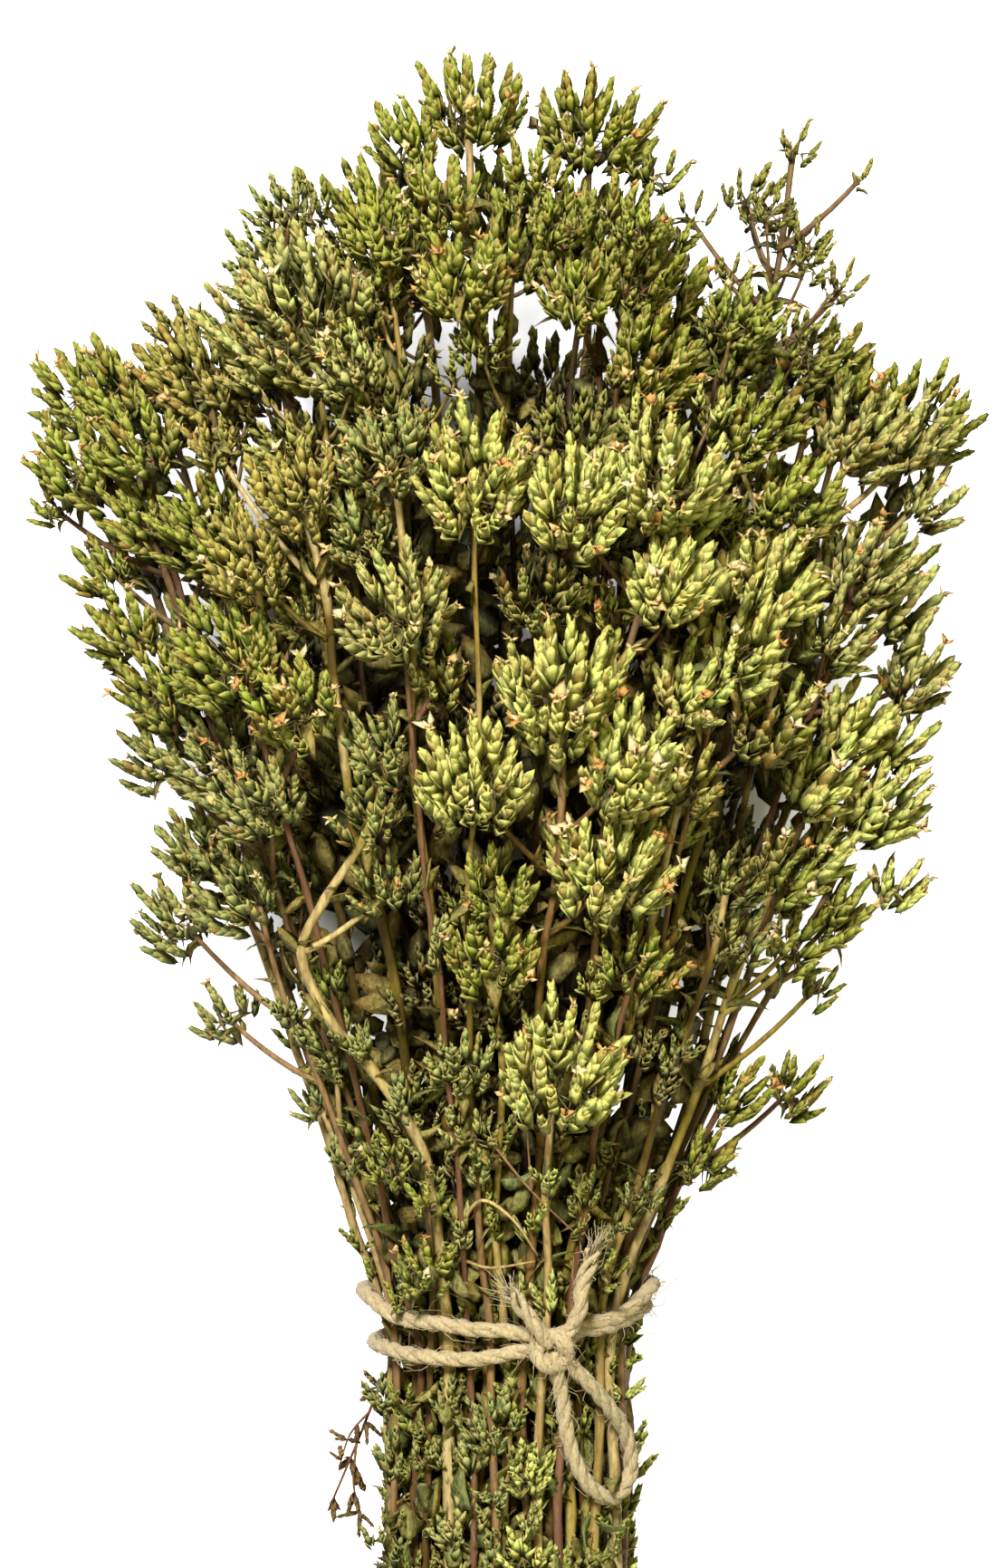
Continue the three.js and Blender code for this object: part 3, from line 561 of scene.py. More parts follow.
def blade(stations, half_width, fold, curl, thickness=0.05):
    """A closed blade from 0 to 1 along Y, as (points, faces, tones). fold below 0 lowers its edges."""
    t = (np.arange(stations) + 0.7) / (stations + 0.4)
    width = half_width * t ** FOOT_POWER * (1 - t) ** TIP_POWER / WIDEST
    rise, nothing = curl * t * t, np.zeros(stations)
    points = [[[0, 0, 0], [0, 1 - CURL_SHORTENS * abs(curl), curl]]]
    for x, z in ((width, rise + fold * width), (-width, rise + fold * width),
                 (nothing, rise + thickness), (nothing, rise - thickness)):
        points.append(np.stack([x, t * (1 - CURL_SHORTENS * abs(curl) * t), z], axis=1))
    first = [2 + stations * k for k in range(4)]
    faces = []
    for rim, mirrored in ((first[0], False), (first[1], True)):
        for rib, under in ((first[2], False), (first[3], True)):
            side = [[0, rim, rib], [rim + stations - 1, 1, rib + stations - 1]]
            for k in range(stations - 1):
                side += [[rim + k, rim + k + 1, rib + k + 1], [rim + k, rib + k + 1, rib + k]]
            faces += [triangle[::-1] for triangle in side] if mirrored != under else side
    tones = np.zeros((2 + 4 * stations, 3))
    tones[:, 0] = np.concatenate([[0, 1], np.tile(t, 4)])
    tones[1:2 + 2 * stations, 2] = 1
    return np.concatenate(points), np.array(faces), tones


def turned(points, axis, angle):
    """Points turned about a coordinate axis."""
    a, b = [(1, 2), (2, 0), (0, 1)][axis]
    result = points.copy()
    result[:, a] = points[:, a] * math.cos(angle) - points[:, b] * math.sin(angle)
    result[:, b] = points[:, a] * math.sin(angle) + points[:, b] * math.cos(angle)
    return result


print("a blade with two stations has", len(blade(2, 0.2, 0.5, 0)[1]), "triangles")

# %% [markdown]
# A spikelet carries its bracts in crossed pairs, so it shows four rows, each bract half hidden by the one
# below. The low bracts are the largest and lean out the most. Three finenesses are made: the fine ones for
# what faces up, the plain ones for the sides, and the rough ones for what lies underneath.

# %% Spikelets and withered flowers
SPIKELET_LENGTH, BRACT_LENGTH = 9.5, 4.7
LAST_BRACT_AT = SPIKELET_LENGTH - 0.75 * BRACT_LENGTH
# The first bracts lean out by LOW_LEAN degrees, and the last ones by LEAN_LOST less.
LOW_LEAN, LEAN_LOST = 19, 12
SHORTER_AT_TIP = 0.22
AXIS_RADIUS = 0.4
PETALS, FLOWER_AT = 4, SPIKELET_LENGTH * 0.88


def bundle(parts):
    """Several (points, faces, tones) as one."""
    shifts = np.cumsum([0] + [len(points) for points, _, _ in parts[:-1]])
    return (np.concatenate([part[0] for part in parts]),
            np.concatenate([part[1] + shift for part, shift in zip(parts, shifts)]),
            np.concatenate([part[2] for part in parts]))


def spikelet(seed, bracts, stations, spread):
    random = np.random.default_rng(seed)
    parts = []
    for j in range(bracts):
        level = j / (bracts - 1)
        shape, faces, tones = blade(stations, half_width=random.uniform(0.21, 0.27),
                                    fold=-random.uniform(0.5, 0.9), curl=random.uniform(-0.24, -0.04))
        lean = math.radians(spread * (LOW_LEAN - LEAN_LOST * level) + random.uniform(-4, 5))
        roll = math.pi * (j % 2) + math.pi / 2 * (j // 2 % 2) + random.uniform(-0.22, 0.22)
        size = BRACT_LENGTH * (1 - SHORTER_AT_TIP * level) * random.uniform(0.9, 1.1)
        shape = turned(shape * size, 0, lean)
        shape = turned(shape + [0, 0, AXIS_RADIUS], 1, roll)
        tones[:, 1] = random.random()
        parts.append((shape + [0, LAST_BRACT_AT * level, 0], faces, tones))
    return bundle(parts)


def withered_flower(seed):
    """A few crumpled petals that stick out of a spikelet's tip."""
    random = np.random.default_rng(seed)
    parts = []
    for j in range(PETALS):
        shape, faces, tones = blade(1, half_width=random.uniform(0.2, 0.4), fold=random.uniform(-0.8, 0.8),
                                    curl=random.random() - 0.3)
        shape = turned(shape * random.uniform(1.2, 3.0), 0, random.uniform(0, 0.8))
        shape = turned(shape, 1, 2 * math.pi * (j + random.random()) / PETALS)
        tones[:, 1] = random.random()
        parts.append((shape + [0, FLOWER_AT, 0], faces, tones))
    return bundle(parts)


FINE, PLAIN, ROUGH = range(3)
# One row for each spikelet: (seed, bracts, stations of each bract, spread).
SPIKELET_ROWS = [[(3, 12, 2, 1), (5, 12, 2, 1.2), (8, 11, 2, 0.8), (13, 10, 2, 1.5), (14, 12, 2, 0.9)],
                 [(21, 9, 1, 1), (34, 9, 1, 1.3), (36, 9, 1, 0.8)],
                 [(55, 7, 1, 1.2)]]
SPIKELETS = [[spikelet(*row) for row in rows] for rows in SPIKELET_ROWS]
FLOWERS = [withered_flower(seed) for seed in (2, 4, 6)]
print("a fine spikelet has", len(SPIKELETS[FINE][0][1]), "triangles")

# %% [markdown]
# ## Leaves and stalks
#
# Dried oregano leaves are small, grey-green and curled, and each dries in its own way. Six shapes with
# different folds and curls, used at any size and turn, are enough to hide the repeats. Stems and stalks
# are tubes swept along curves, with a frame that is carried along without twist.

# %% Leaves
LEAF_THICKNESS = 0.03
# One row for each leaf: (stations, half width, fold, curl).
LEAF_ROWS = [[(3, 0.2, 0.7, -0.4), (3, 0.2, 1.1, -0.6), (3, 0.16, 1.4, 0.35), (3, 0.22, 0.6, -0.9),
              (3, 0.19, -1.0, 0.5), (3, 0.14, 1.8, -0.9)],
             [(2, 0.22, 0.7, -0.4), (2, 0.22, 1.2, 0.4), (2, 0.22, -0.7, -0.8)],
             [(1, 0.3, 0.5, -0.3)]]
LEAVES = [[blade(*row, LEAF_THICKNESS) for row in rows] for rows in LEAF_ROWS]
print("leaves of", sum(len(rows) for rows in LEAVES), "shapes")


# %% Tubes along curves
def curve_through(points, steps):
    """A smooth curve through points: a Catmull-Rom spline."""
    points = np.asarray(points, float)
    ends = np.concatenate([[2 * points[0] - points[1]], points, [2 * points[-1] - points[-2]]])
    result = []
    for k in range(1, len(ends) - 2):
        p0, p1, p2, p3 = ends[k - 1:k + 3]
        t = np.linspace(0, 1, steps, endpoint=False)[:, None]
        result.append(0.5 * (2 * p1 + (p2 - p0) * t + (2 * p0 - 5 * p1 + 4 * p2 - p3) * t ** 2
                             + (3 * p1 - p0 - 3 * p2 + p3) * t ** 3))
    return np.concatenate(result + [points[-1:]])


def carried_frames(path):
    """Two unit vectors square to the path at each of its points, carried along it without twist."""
    along = np.gradient(path, axis=0)
    along /= np.linalg.norm(along, axis=1)[:, None]
    side = unit(np.cross(along[0], [0.31, 0.2, 1.0]))
    sides = []
    for direction in along:
        side = unit(side - direction * (side @ direction))
        sides.append(side)
    sides = np.array(sides)
    return sides, np.cross(along, sides)


def tube(path, radii, sides, square=0.0):
    """A closed tube as (points, faces, tones). square above 0 makes its corners stand out."""
    path = np.asarray(path, float)
    radii = np.broadcast_to(radii, len(path))
    first, second = carried_frames(path)
    turns = 2 * np.pi * np.arange(sides) / sides
    corner = 1 + square * np.cos(4 * turns)
    ring = np.cos(turns)[None, :, None] * first[:, None] + np.sin(turns)[None, :, None] * second[:, None]
    points = path[:, None] + ring * (radii[:, None] * corner[None])[..., None]
    points = np.concatenate([points.reshape(-1, 3), path[:1], path[-1:]])
    k, i = np.meshgrid(np.arange(len(path) - 1), np.arange(sides), indexing="ij")
    a, b = (k * sides + i).ravel(), (k * sides + (i + 1) % sides).ravel()
    faces = [np.stack([a, b, b + sides], axis=1), np.stack([a, b + sides, a + sides], axis=1)]
    i = np.arange(sides)
    last = (len(path) - 1) * sides
    low, high = len(points) - 2, len(points) - 1
    faces.append(np.stack([(i + 1) % sides, i, np.full(sides, low)], axis=1))
    faces.append(np.stack([last + i, last + (i + 1) % sides, np.full(sides, high)], axis=1))
    tones = np.zeros((len(points), 3))
    tones[:-2, 0] = np.repeat(np.linspace(0, 1, len(path)), sides)
    tones[-1, 0] = 1
    return points, np.concatenate(faces), tones


# A thin pointed stalk from 0 to 1 along Y, for the thousands that carry a spikelet each.
STALK = (np.array([[0, 0, 1], [0.87, 0, -0.5], [-0.87, 0, -0.5], [0, 1, 0]]),
         np.array([[0, 2, 1], [0, 1, 3], [1, 2, 3], [2, 0, 3]]),
         np.array([[0, 0.5, 0], [0, 0.5, 0], [0, 0.5, 0], [1, 0.5, 0]]))
bend = curve_through([[0, 0, 0], [0, 10, 1], [0, 20, 0]], 4)
print("a bend of", len(bend), "points swept with eight sides has", len(tube(bend, 1, 8)[1]), "triangles")

# %% [markdown]
# ## Materials as expressions
#
# Shader maths reads best as ordinary maths. Value wraps a socket and adds a node for each operator, and
# Look.node makes any other node from its type, its settings and its inputs.

# %% Sockets as expressions
class Value:
    """A shader number that can be used in an expression."""

    def __init__(self, look, socket):
        self.look, self.socket = look, socket

    def maths(self, operation, first, second):
        return self.look.node("ShaderNodeMath", {"operation": operation}, {0: first, 1: second})

    def __add__(self, other):
        return self.maths("ADD", self, other)

    def __sub__(self, other):
        return self.maths("SUBTRACT", self, other)

    def __mul__(self, other):
        return self.maths("MULTIPLY", self, other)

    def __pow__(self, other):
        return self.maths("POWER", self, other)

    def __rsub__(self, other):
        return self.maths("SUBTRACT", other, self)

    __radd__, __rmul__ = __add__, __mul__


print("a number may also stand first in", [name.strip("_") for name in vars(Value) if "__r" in name])


# %% A material under construction
class Look:
    """A material under construction."""

    def __init__(self, name, **constants):
        self.material = bpy.data.materials.new(name)
        self.material.use_nodes = True
        self.tree = self.material.node_tree
        self.surface = self.tree.nodes["Principled BSDF"]
        for socket, value in constants.items():
            self.surface.inputs[socket.replace("_", " ").title().replace("Ior", "IOR")].default_value = value

    def node(self, kind, settings=None, inputs=None, output=0):
        node = self.tree.nodes.new(kind)
        for name, value in (settings or {}).items():
            if name == "stops":
                self.set_stops(node.color_ramp, value)
            else:
                setattr(node, name, value)
        for key, value in (inputs or {}).items():
            self.feed(node.inputs[key], value)
        return Value(self, node.outputs[output])

    def set_stops(self, ramp, stops):
        while len(ramp.elements) < len(stops):
            ramp.elements.new(0.5)
        for element, (position, colour) in zip(ramp.elements, stops):
            element.position = position
            element.color = (*colour, 1)

    def feed(self, socket, value):
        if isinstance(value, Value):
            self.tree.links.new(value.socket, socket)
        else:
            socket.default_value = value

    def attribute(self, name):
        return self.node("ShaderNodeAttribute", {"attribute_name": name}, output="Color")

    def parts(self, colour):
        split = self.node("ShaderNodeSeparateColor", inputs={0: colour})
        return [Value(self, socket) for socket in split.socket.node.outputs]

    def mix(self, factor, first, second, blend="MIX"):
        settings = {"data_type": "RGBA", "blend_type": blend}
        return self.node("ShaderNodeMix", settings, {0: factor, 6: first, 7: second}, output=2)

    def noise(self, scale, detail=2.0, stretch=(1, 1, 1), vary=0.5):
        place = self.node("ShaderNodeTexCoord", output="Object")
        place = self.node("ShaderNodeVectorMath", {"operation": "MULTIPLY"}, {0: place, 1: stretch})
        inputs = {"Vector": place, "Scale": scale, "Detail": detail, "Roughness": vary}
        return self.node("ShaderNodeTexNoise", inputs=inputs)

    def ramp(self, value, *stops):
        return self.node("ShaderNodeValToRGB", {"stops": stops}, {0: value})

    def paint(self, socket, value):
        self.feed(self.surface.inputs[socket], value)

    def relief(self, height, depth, strength=0.6):
        self.paint("Normal", self.node("ShaderNodeBump", inputs={
            "Height": height, "Distance": depth, "Strength": strength}, output="Normal"))


def srgb(red, green, blue):
    """A colour given in picture values from 0 to 255, as the linear light that Blender wants."""
    values = np.array([red, green, blue]) / 255
    return np.where(values <= 0.04045, values / 12.92, ((values + 0.055) / 1.055) ** 2.4)


def opaque(red, green, blue):
    return (*srgb(red, green, blue), 1)


print("mid grey in linear light:", srgb(128, 128, 128).round(3))

# %% [markdown]
# A dried bract is pale along its rims, with a painted highlight there too, and straw or brown at the tip.
# Its foot, where the bracts below cover it, is darkened as painted shade. A picture could carry all that,
# but the tones of each blade already say where a point lies, so one material paints every bract at any
# size. Fine noise stands for the glands and the down. Leaves have a pale rib, wrinkles and brown blotches,
# and stems are streaked and flecked with purple-brown.

# %% Bract, petal, leaf and stem materials
def bract_look():
    look = Look("dried_bract", base_color=(0.35, 0.33, 0.10, 1), specular_ior_level=0.15)
    pale_lit_rim, straw, brown = opaque(226, 218, 150), opaque(202, 172, 104), opaque(140, 100, 46)
    # Painted shade: the foot of each bract, tucked under the bracts below, is darkened almost to black.
    foot_shade = (0.03, 0.04, 0.006, 1)
    tint = look.attribute("tint")
    along, chance, edge = look.parts(look.attribute("tone"))
    speckle = look.noise(2600, 2)
    # The pale rim is partly the bract's own pale margin and partly a painted highlight.
    rim_pale_and_lit = look.mix(edge ** 2 * 0.42, tint, pale_lit_rim)
    foot_shaded = look.mix(1 - along * 1.35, rim_pale_and_lit, foot_shade, "MULTIPLY")
    tipped = look.mix((along ** 4) * (chance * 0.9), foot_shaded, straw)
    browned = look.mix(chance ** 9 * 0.6, tipped, brown)
    glands = look.ramp(speckle, (0.3, (0.5, 0.52, 0.26)), (0.7, (1.25, 1.25, 1.15)))
    look.paint("Base Color", look.mix(0.5, browned, glands, "MULTIPLY"))
    look.paint("Roughness", 0.64 + speckle * 0.2)
    look.relief(speckle, 0.00025)
    return look.material


def petal_look():
    look = Look("withered_petal", base_color=(0.6, 0.45, 0.25, 1), roughness=0.8)
    tint = look.attribute("tint")
    along, chance, _ = look.parts(look.attribute("tone"))
    crumple = look.noise(3000, 3)
    look.paint("Base Color", look.mix(crumple * (1 - along), tint, opaque(176, 138, 88)))
    look.relief(crumple + chance, 0.0002)
    return look.material


def leaf_look():
    look = Look("dried_leaf", base_color=(0.22, 0.23, 0.11, 1), specular_ior_level=0.2)
    ochre, pale_rib, brown_tip = opaque(150, 128, 62), opaque(166, 164, 108), opaque(134, 100, 52)
    tint = look.attribute("tint")
    along, chance, edge = look.parts(look.attribute("tone"))
    blotch = look.noise(500, 4)
    wrinkles = look.noise(1400, 4, (1, 0.5, 1), 0.65)
    blotched = look.mix(blotch * chance * 1.6, tint, ochre)
    ribbed = look.mix((1 - edge) * 0.3, blotched, pale_rib)
    creases = look.ramp(wrinkles, (0.36, (0.35, 0.38, 0.22)), (0.62, (1.35, 1.32, 1.25)))
    mottled = look.mix(0.85, ribbed, creases, "MULTIPLY")
    look.paint("Base Color", look.mix(along ** 4 * chance, mottled, brown_tip))
    look.paint("Roughness", 0.55 + wrinkles * 0.2)
    look.relief(wrinkles, 0.0005, 0.9)
    return look.material


def stem_look():
    look = Look("dry_stem", base_color=(0.36, 0.25, 0.13, 1), roughness=0.6, specular_ior_level=0.25)
    tint = look.attribute("tint")
    chance = look.parts(look.attribute("tone"))[1]
    streaks = look.noise(900, 4, (1, 0.06, 1))
    flecks = look.noise(1500, 3, (1, 0.4, 1))
    grooves = look.ramp(streaks, (0.32, (0.5, 0.43, 0.35)), (0.62, (1.2, 1.15, 1.05)))
    streaked = look.mix(0.75, tint, grooves, "MULTIPLY")
    look.paint("Base Color", look.mix(flecks ** 4 * 2.4, streaked, opaque(92, 52, 34)))
    look.relief(streaks + chance, 0.0003)
    return look.material


PLANT_LOOKS = [bract_look(), petal_look(), leaf_look(), stem_look()]
BRACT, PETAL, LEAF, STEM = range(4)
print("materials:", [material.name for material in PLANT_LOOKS])

# %% [markdown]
# ## The flowering stems
#
# Each tint names a state of drying that the photo shows, from the bright yellow-green heads in the middle
# to the dark ones behind. The tints are also partly painted light: some are set darker for the outer heads,
# which get less light. Stem colours go from straw to purple-brown.

# %% Colours of the plants
TINTS = {
    "bright": srgb(218, 219, 126), "pale": srgb(184, 182, 112), "green": srgb(141, 152, 42),
    "grey": srgb(137, 148, 86), "olive": srgb(133, 142, 18), "brown": srgb(158, 148, 66),
    "dark": srgb(98, 108, 30), "grass": srgb(134, 137, 52),
}
STEM_TINTS = [srgb(188, 162, 112), srgb(148, 117, 82), srgb(122, 88, 68), srgb(202, 180, 128),
              srgb(118, 94, 64)]
STALK_TINT = srgb(196, 180, 122)
LEAF_TINTS = np.array([srgb(112, 122, 72), srgb(122, 126, 58), srgb(92, 100, 44), srgb(138, 134, 84),
                       srgb(110, 124, 80)])
PETAL_TINTS = np.array([srgb(236, 218, 172), srgb(230, 204, 152), srgb(224, 190, 130), srgb(206, 150, 80)])
print(len(TINTS), "tints for heads,", len(STEM_TINTS), "for stems and", len(LEAF_TINTS), "for leaves")

# %% [markdown]
# Deep inside the bunch, and in a few hollows between the heads, the plants are nearly black. A render's
# light alone leaves them grey, because it bounces on between the pale bracts, where real dust and down
# swallow it. So each small piece also gets painted shade by its place: how far in it lies, and how near
# it is to a hollow or to the neck.

# %% Shade inside the bunch
# Where the stems show bare between the heads: (across, along, radius).
CLEARINGS = np.array([[8, 172, 12], [-34, 156, 7], [-2, 131, 10], [8, 74, 7], [46, 158, 7], [40, 82, 6],
                      [-7, 118, 7], [-28, 114, 5], [-4, 89, 6], [-21, 87, 6], [0, 60, 7], [-16, 49, 8],
                      [-3, 28, 9], [39, 97, 5], [20, 40, 10], [-22, 66, 6], [28, 58, 7]])
CAP_FROM, CAP_LENGTH = 95, 105
# Each pair is where a change starts and where it ends.
OUTER_LAYER, HOLLOW_RIM, NECK_TOP, NECK_SIDE = (0.5, 0.95), (0.8, 1.8), (50, 80), (0.6, 0.95)
UNDERSIDE, UPPER_SKIN, CUT_STRETCH = (-0.5, -0.1), (0.68, 0.96), (60, 84)
INNERMOST_LIGHT, LIGHT_GAINED, CUT_LIGHT = 0.025, 0.975, 0.8
HOLLOWS_END, HOLLOW_DARKNESS, NECK_DARKNESS = 148, 0.88, 0.55
RED_SHARE, BLUE_POWER = 0.97, 2.4


def how_far_out(point):
    """From 0 on the bunch's axis to 1 on its skin, at the sides as well as at the top of the crown."""
    return math.hypot(*section_place(point), max(0, point[1] - TIE[1] - CAP_FROM) / CAP_LENGTH)


def shade(point):
    """How light the painted shade leaves the plant at a point, by channel: what lies deep inside the bunch,
    in a hollow or at the neck is painted dark and olive.
    """
    along = point[1] - TIE[1]
    across, up = section_place(point)
    light = INNERMOST_LIGHT + LIGHT_GAINED * smooth(how_far_out(point), *OUTER_LAYER)
    if along < HOLLOWS_END:
        away = np.linalg.norm(CLEARINGS[:, :2] - [point[0] - TIE[0], along], axis=1) / CLEARINGS[:, 2]
        hollow = 1 - smooth(away.min(), *HOLLOW_RIM)
        neck = NECK_DARKNESS * (1 - smooth(along, *NECK_TOP)) * (1 - smooth(abs(across), *NECK_SIDE))
        sunk = smooth(up, *UNDERSIDE) * (1 - smooth(up, *UPPER_SKIN))
        light *= 1 - HOLLOW_DARKNESS * sunk * max(hollow, neck)
    light = max(light, CUT_LIGHT * smooth(-along, *CUT_STRETCH))
    return np.array([light * RED_SHARE, light, light ** BLUE_POWER])


print("light on the bunch's axis", shade(np.array([TIE[0], TIE[1] + 20, axis_height(20)])).round(3))

# %% [markdown]
# A head is a flat-topped cluster: the stalk forks a few times, and each fork ends in three or four
# spikelets that turn upright. So the spikelets are spread over a cap, tied in groups to the nearest fork,
# and leaned back towards the head's own axis.

# %% Where a head's spikelets point
SPIKELET_SPACING, SPIKELETS_IN_SPACING, FEWEST, MOST = 3.9, 5.0, 3, 52
HEAD_DEPTH, FLATNESS, SHORTEST_REACH = 1.45, 0.3, 4.5


def spread_directions(count, random):
    """Directions spread evenly over a cap about the Y axis, each a little off its place."""
    k = np.arange(count) + 0.5
    polar = np.arccos(1 - (1 - math.cos(HEAD_OPENING)) * k / count) + random.normal(0, 0.05, count)
    turn = k * math.pi * (3 - math.sqrt(5)) + random.normal(0, 0.08, count)
    out = np.sin(polar)
    return np.stack([out * np.cos(turn), np.cos(polar), out * np.sin(turn)], axis=1), polar


def head_rays(head, turn, random):
    """For each spikelet: its direction from the head's foot, its reach, and how far it opens, up to 1."""
    count = int(np.clip(SPIKELETS_IN_SPACING * (head.radius / SPIKELET_SPACING) ** 2, FEWEST, MOST))
    local, polar = spread_directions(count, random)
    rays, opened = local @ turn, polar / HEAD_OPENING
    wanted = HEAD_DEPTH * head.radius * (1 - FLATNESS * opened ** 2) * random.uniform(0.82, 1.08, count)
    length = np.minimum(wanted, reach(head, rays))
    kept = length > SHORTEST_REACH
    return rays[kept], length[kept], opened[kept]


print("a cap of four directions opens by", spread_directions(4, np.random.default_rng(0))[1].round(2))

# %% [markdown]
# Painted shade makes each head lightest where it faces out of the bunch and darkest round its rim. Each
# spikelet differs a little in size and colour, and a few carry withered flowers. The stalks are thin and
# pale, and painted shade darkens them inside the head.

# %% One head of spikelets
SPIKELET_SIZES = {"bright": 1.05, "pale": 0.95, "grey": 0.82, "olive": 0.9, "dark": 0.85, "grass": 0.7}
USUAL_SIZE, SMALLEST_SIZE, FULL_SIZE_REACH = 0.9, 0.62, 10.5
UPRIGHT, CROWNWARD, FACING_OUT = 0.75, 0.35, 0.9
FINE_IN_FLOWER, PLAIN_IN_FLOWER = 0.09, 0.03
TOWARDS_CROWN, POINTING_DOWN = 0.4, -0.2
# Painted shade and light on each head: its inner side, its heart and its rim.
INNER_SIDE_LIGHT, HEART_LIGHT, RIM_DARKNESS = 0.5, 1.04, 0.34
FEWEST_FORKS, SPIKELETS_A_FORK, FORKED_AT = 3, 4, 0.35
# Painted shade on the stalks: the forks keep most of their tint, the spikelets' own stalks much less.
FORK_THICKNESS, TWIG_THICKNESS, FORK_LIGHT, TWIG_LIGHT = 0.42, 0.3, 0.9, 0.4


def head_tints(head, tint_name, rays, opened, bases, random):
    # Painted shade: lighter where a spikelet faces out of the bunch, darker on the head's inner side and
    # round its rim.
    across, up = section_place(head.middle)
    outwards = unit(np.array([across, CROWNWARD, up]))
    facing = np.clip(rays @ outwards + 0.5, 0, FACING_OUT) / FACING_OUT
    lights = INNER_SIDE_LIGHT + (1 - INNER_SIDE_LIGHT) * facing[:, None]
    tints = TINTS[tint_name] * np.array([shade(base) for base in bases]) * lights
    tints = tints * (HEART_LIGHT - RIM_DARKNESS * opened[:, None] ** 2)
    return tints * random.uniform(0.72, 1.15, (len(rays), 1)) * random.normal(1, 0.04, (len(rays), 3))


def add_stalks(heap, starts, ends, thickness, light):
    along = ends - starts
    far = np.linalg.norm(along, axis=1)
    thick = np.full(len(far), thickness)
    frames = frames_along(along / far[:, None], np.zeros(len(far)))
    frames = frames * np.stack([thick, far, thick], axis=1)[..., None]
    # Painted shade: each stalk is darkened by its place in the bunch and by its light factor.
    tint = STALK_TINT * light * shade(starts[0])
    heap.add_copies(STALK, frames, starts, STEM, np.tile(tint, (len(far), 1)))


def add_head(heap, head, tint_name, random, fineness):
    turn = frames_along(head.axis[None], np.array([0.0]))[0]
    rays, length, opened = head_rays(head, turn, random)
    count = len(rays)
    if not count:
        return
    upright = unit(head.axis + [0, TOWARDS_CROWN, 0]) * UPRIGHT
    lean = rays + upright + random.normal(0, 0.12, (count, 3))
    lean /= np.linalg.norm(lean, axis=1)[:, None]
    size = SPIKELET_SIZES.get(tint_name, USUAL_SIZE) * np.clip(length / FULL_SIZE_REACH, SMALLEST_SIZE, 1.0)
    size = size * random.uniform(0.85, 1.15, count)
    tips = head.foot + rays * length[:, None]
    bases = tips - lean * (SPIKELET_LENGTH * size)[:, None]
    tints = head_tints(head, tint_name, rays, opened, bases, random)
    frames = frames_along(lean, random.uniform(0, 2 * np.pi, count)) * size[:, None, None]
    fine = np.clip(fineness + (rays[:, 2] < POINTING_DOWN), FINE, ROUGH)
    kinds = random.random(count)
    for level in (FINE, PLAIN, ROUGH):
        for k, shape in enumerate(SPIKELETS[level]):
            chosen = (fine == level) & (np.floor(kinds * len(SPIKELETS[level])) == k)
            heap.add_copies(shape, frames[chosen], bases[chosen], BRACT, tints[chosen])
    for flower in FLOWERS:
        chosen = random.random(count) < (FINE_IN_FLOWER if fineness == FINE else PLAIN_IN_FLOWER)
        colours = PETAL_TINTS[random.integers(0, len(PETAL_TINTS), chosen.sum())].reshape(-1, 3)
        heap.add_copies(flower, frames[chosen], bases[chosen], PETAL, colours)
    forks = spread_directions(max(FEWEST_FORKS, count // SPIKELETS_A_FORK), random)[0] @ turn
    nearest = np.argmax(rays @ forks.T, axis=1)
    knots = head.foot + forks * FORKED_AT * head.radius
    add_stalks(heap, np.tile(head.foot, (len(forks), 1)), knots, FORK_THICKNESS, FORK_LIGHT)
    add_stalks(heap, knots[nearest], bases + lean, TWIG_THICKNESS, TWIG_LIGHT)


trial = Heap()
add_head(trial, stems[0].heads[0], "green", np.random.default_rng(0), FINE)
print("a head of", round(stems[0].heads[0].radius, 1), "mm has", sum(map(len, trial.faces)), "triangles")

# %% [markdown]
# Between the heads, smaller shoots fill the crown. Placing them by hand would take hundreds of rows, so
# they are tried at random: a place is kept if it is free, has several heads round it and doesn't close the
# upper side of a clearing.

# %% Small shoots between the heads
SHOOT_TRIES, MOST_SHOOTS = 4000, 125
SHOOT_SMALLEST, SHOOT_LARGEST, LOWEST_SHOOT = 3.8, 6.8, 6
WIDEST_AT, CLEARING_DEPTH, HEAD_CORE_SHARE, SHOOT_FAN = 165, 10, 0.6, 60
HEADS_ROUND, ROUND_WITHIN = 3, 20
# Shoots that lie crushed on the stems at the neck: (across, along, radius).
CRUSHED = [[-3, -13, 6.5], [3.5, -22, 5], [-9, -30, 6], [14, -37, 4], [-17, -10, 4], [17, 13, 4.5],
           [23, 26, 5], [-21, 31, 5.5], [-13, -20, 4.5], [1, -36, 6], [-18, 8, 4], [-19, -33, 5]]
LOOKS_BELOW = 12


class Shoot:
    def __init__(self, middle, radius, axis, crushed=False):
        self.middle, self.radius, self.axis, self.crushed = middle, radius, axis, crushed
        self.foot = middle - FOOT_BELOW * radius * axis
        # One plane with no direction, which no ray ever meets.
        self.walls = np.zeros((1, 3)), np.ones(1)


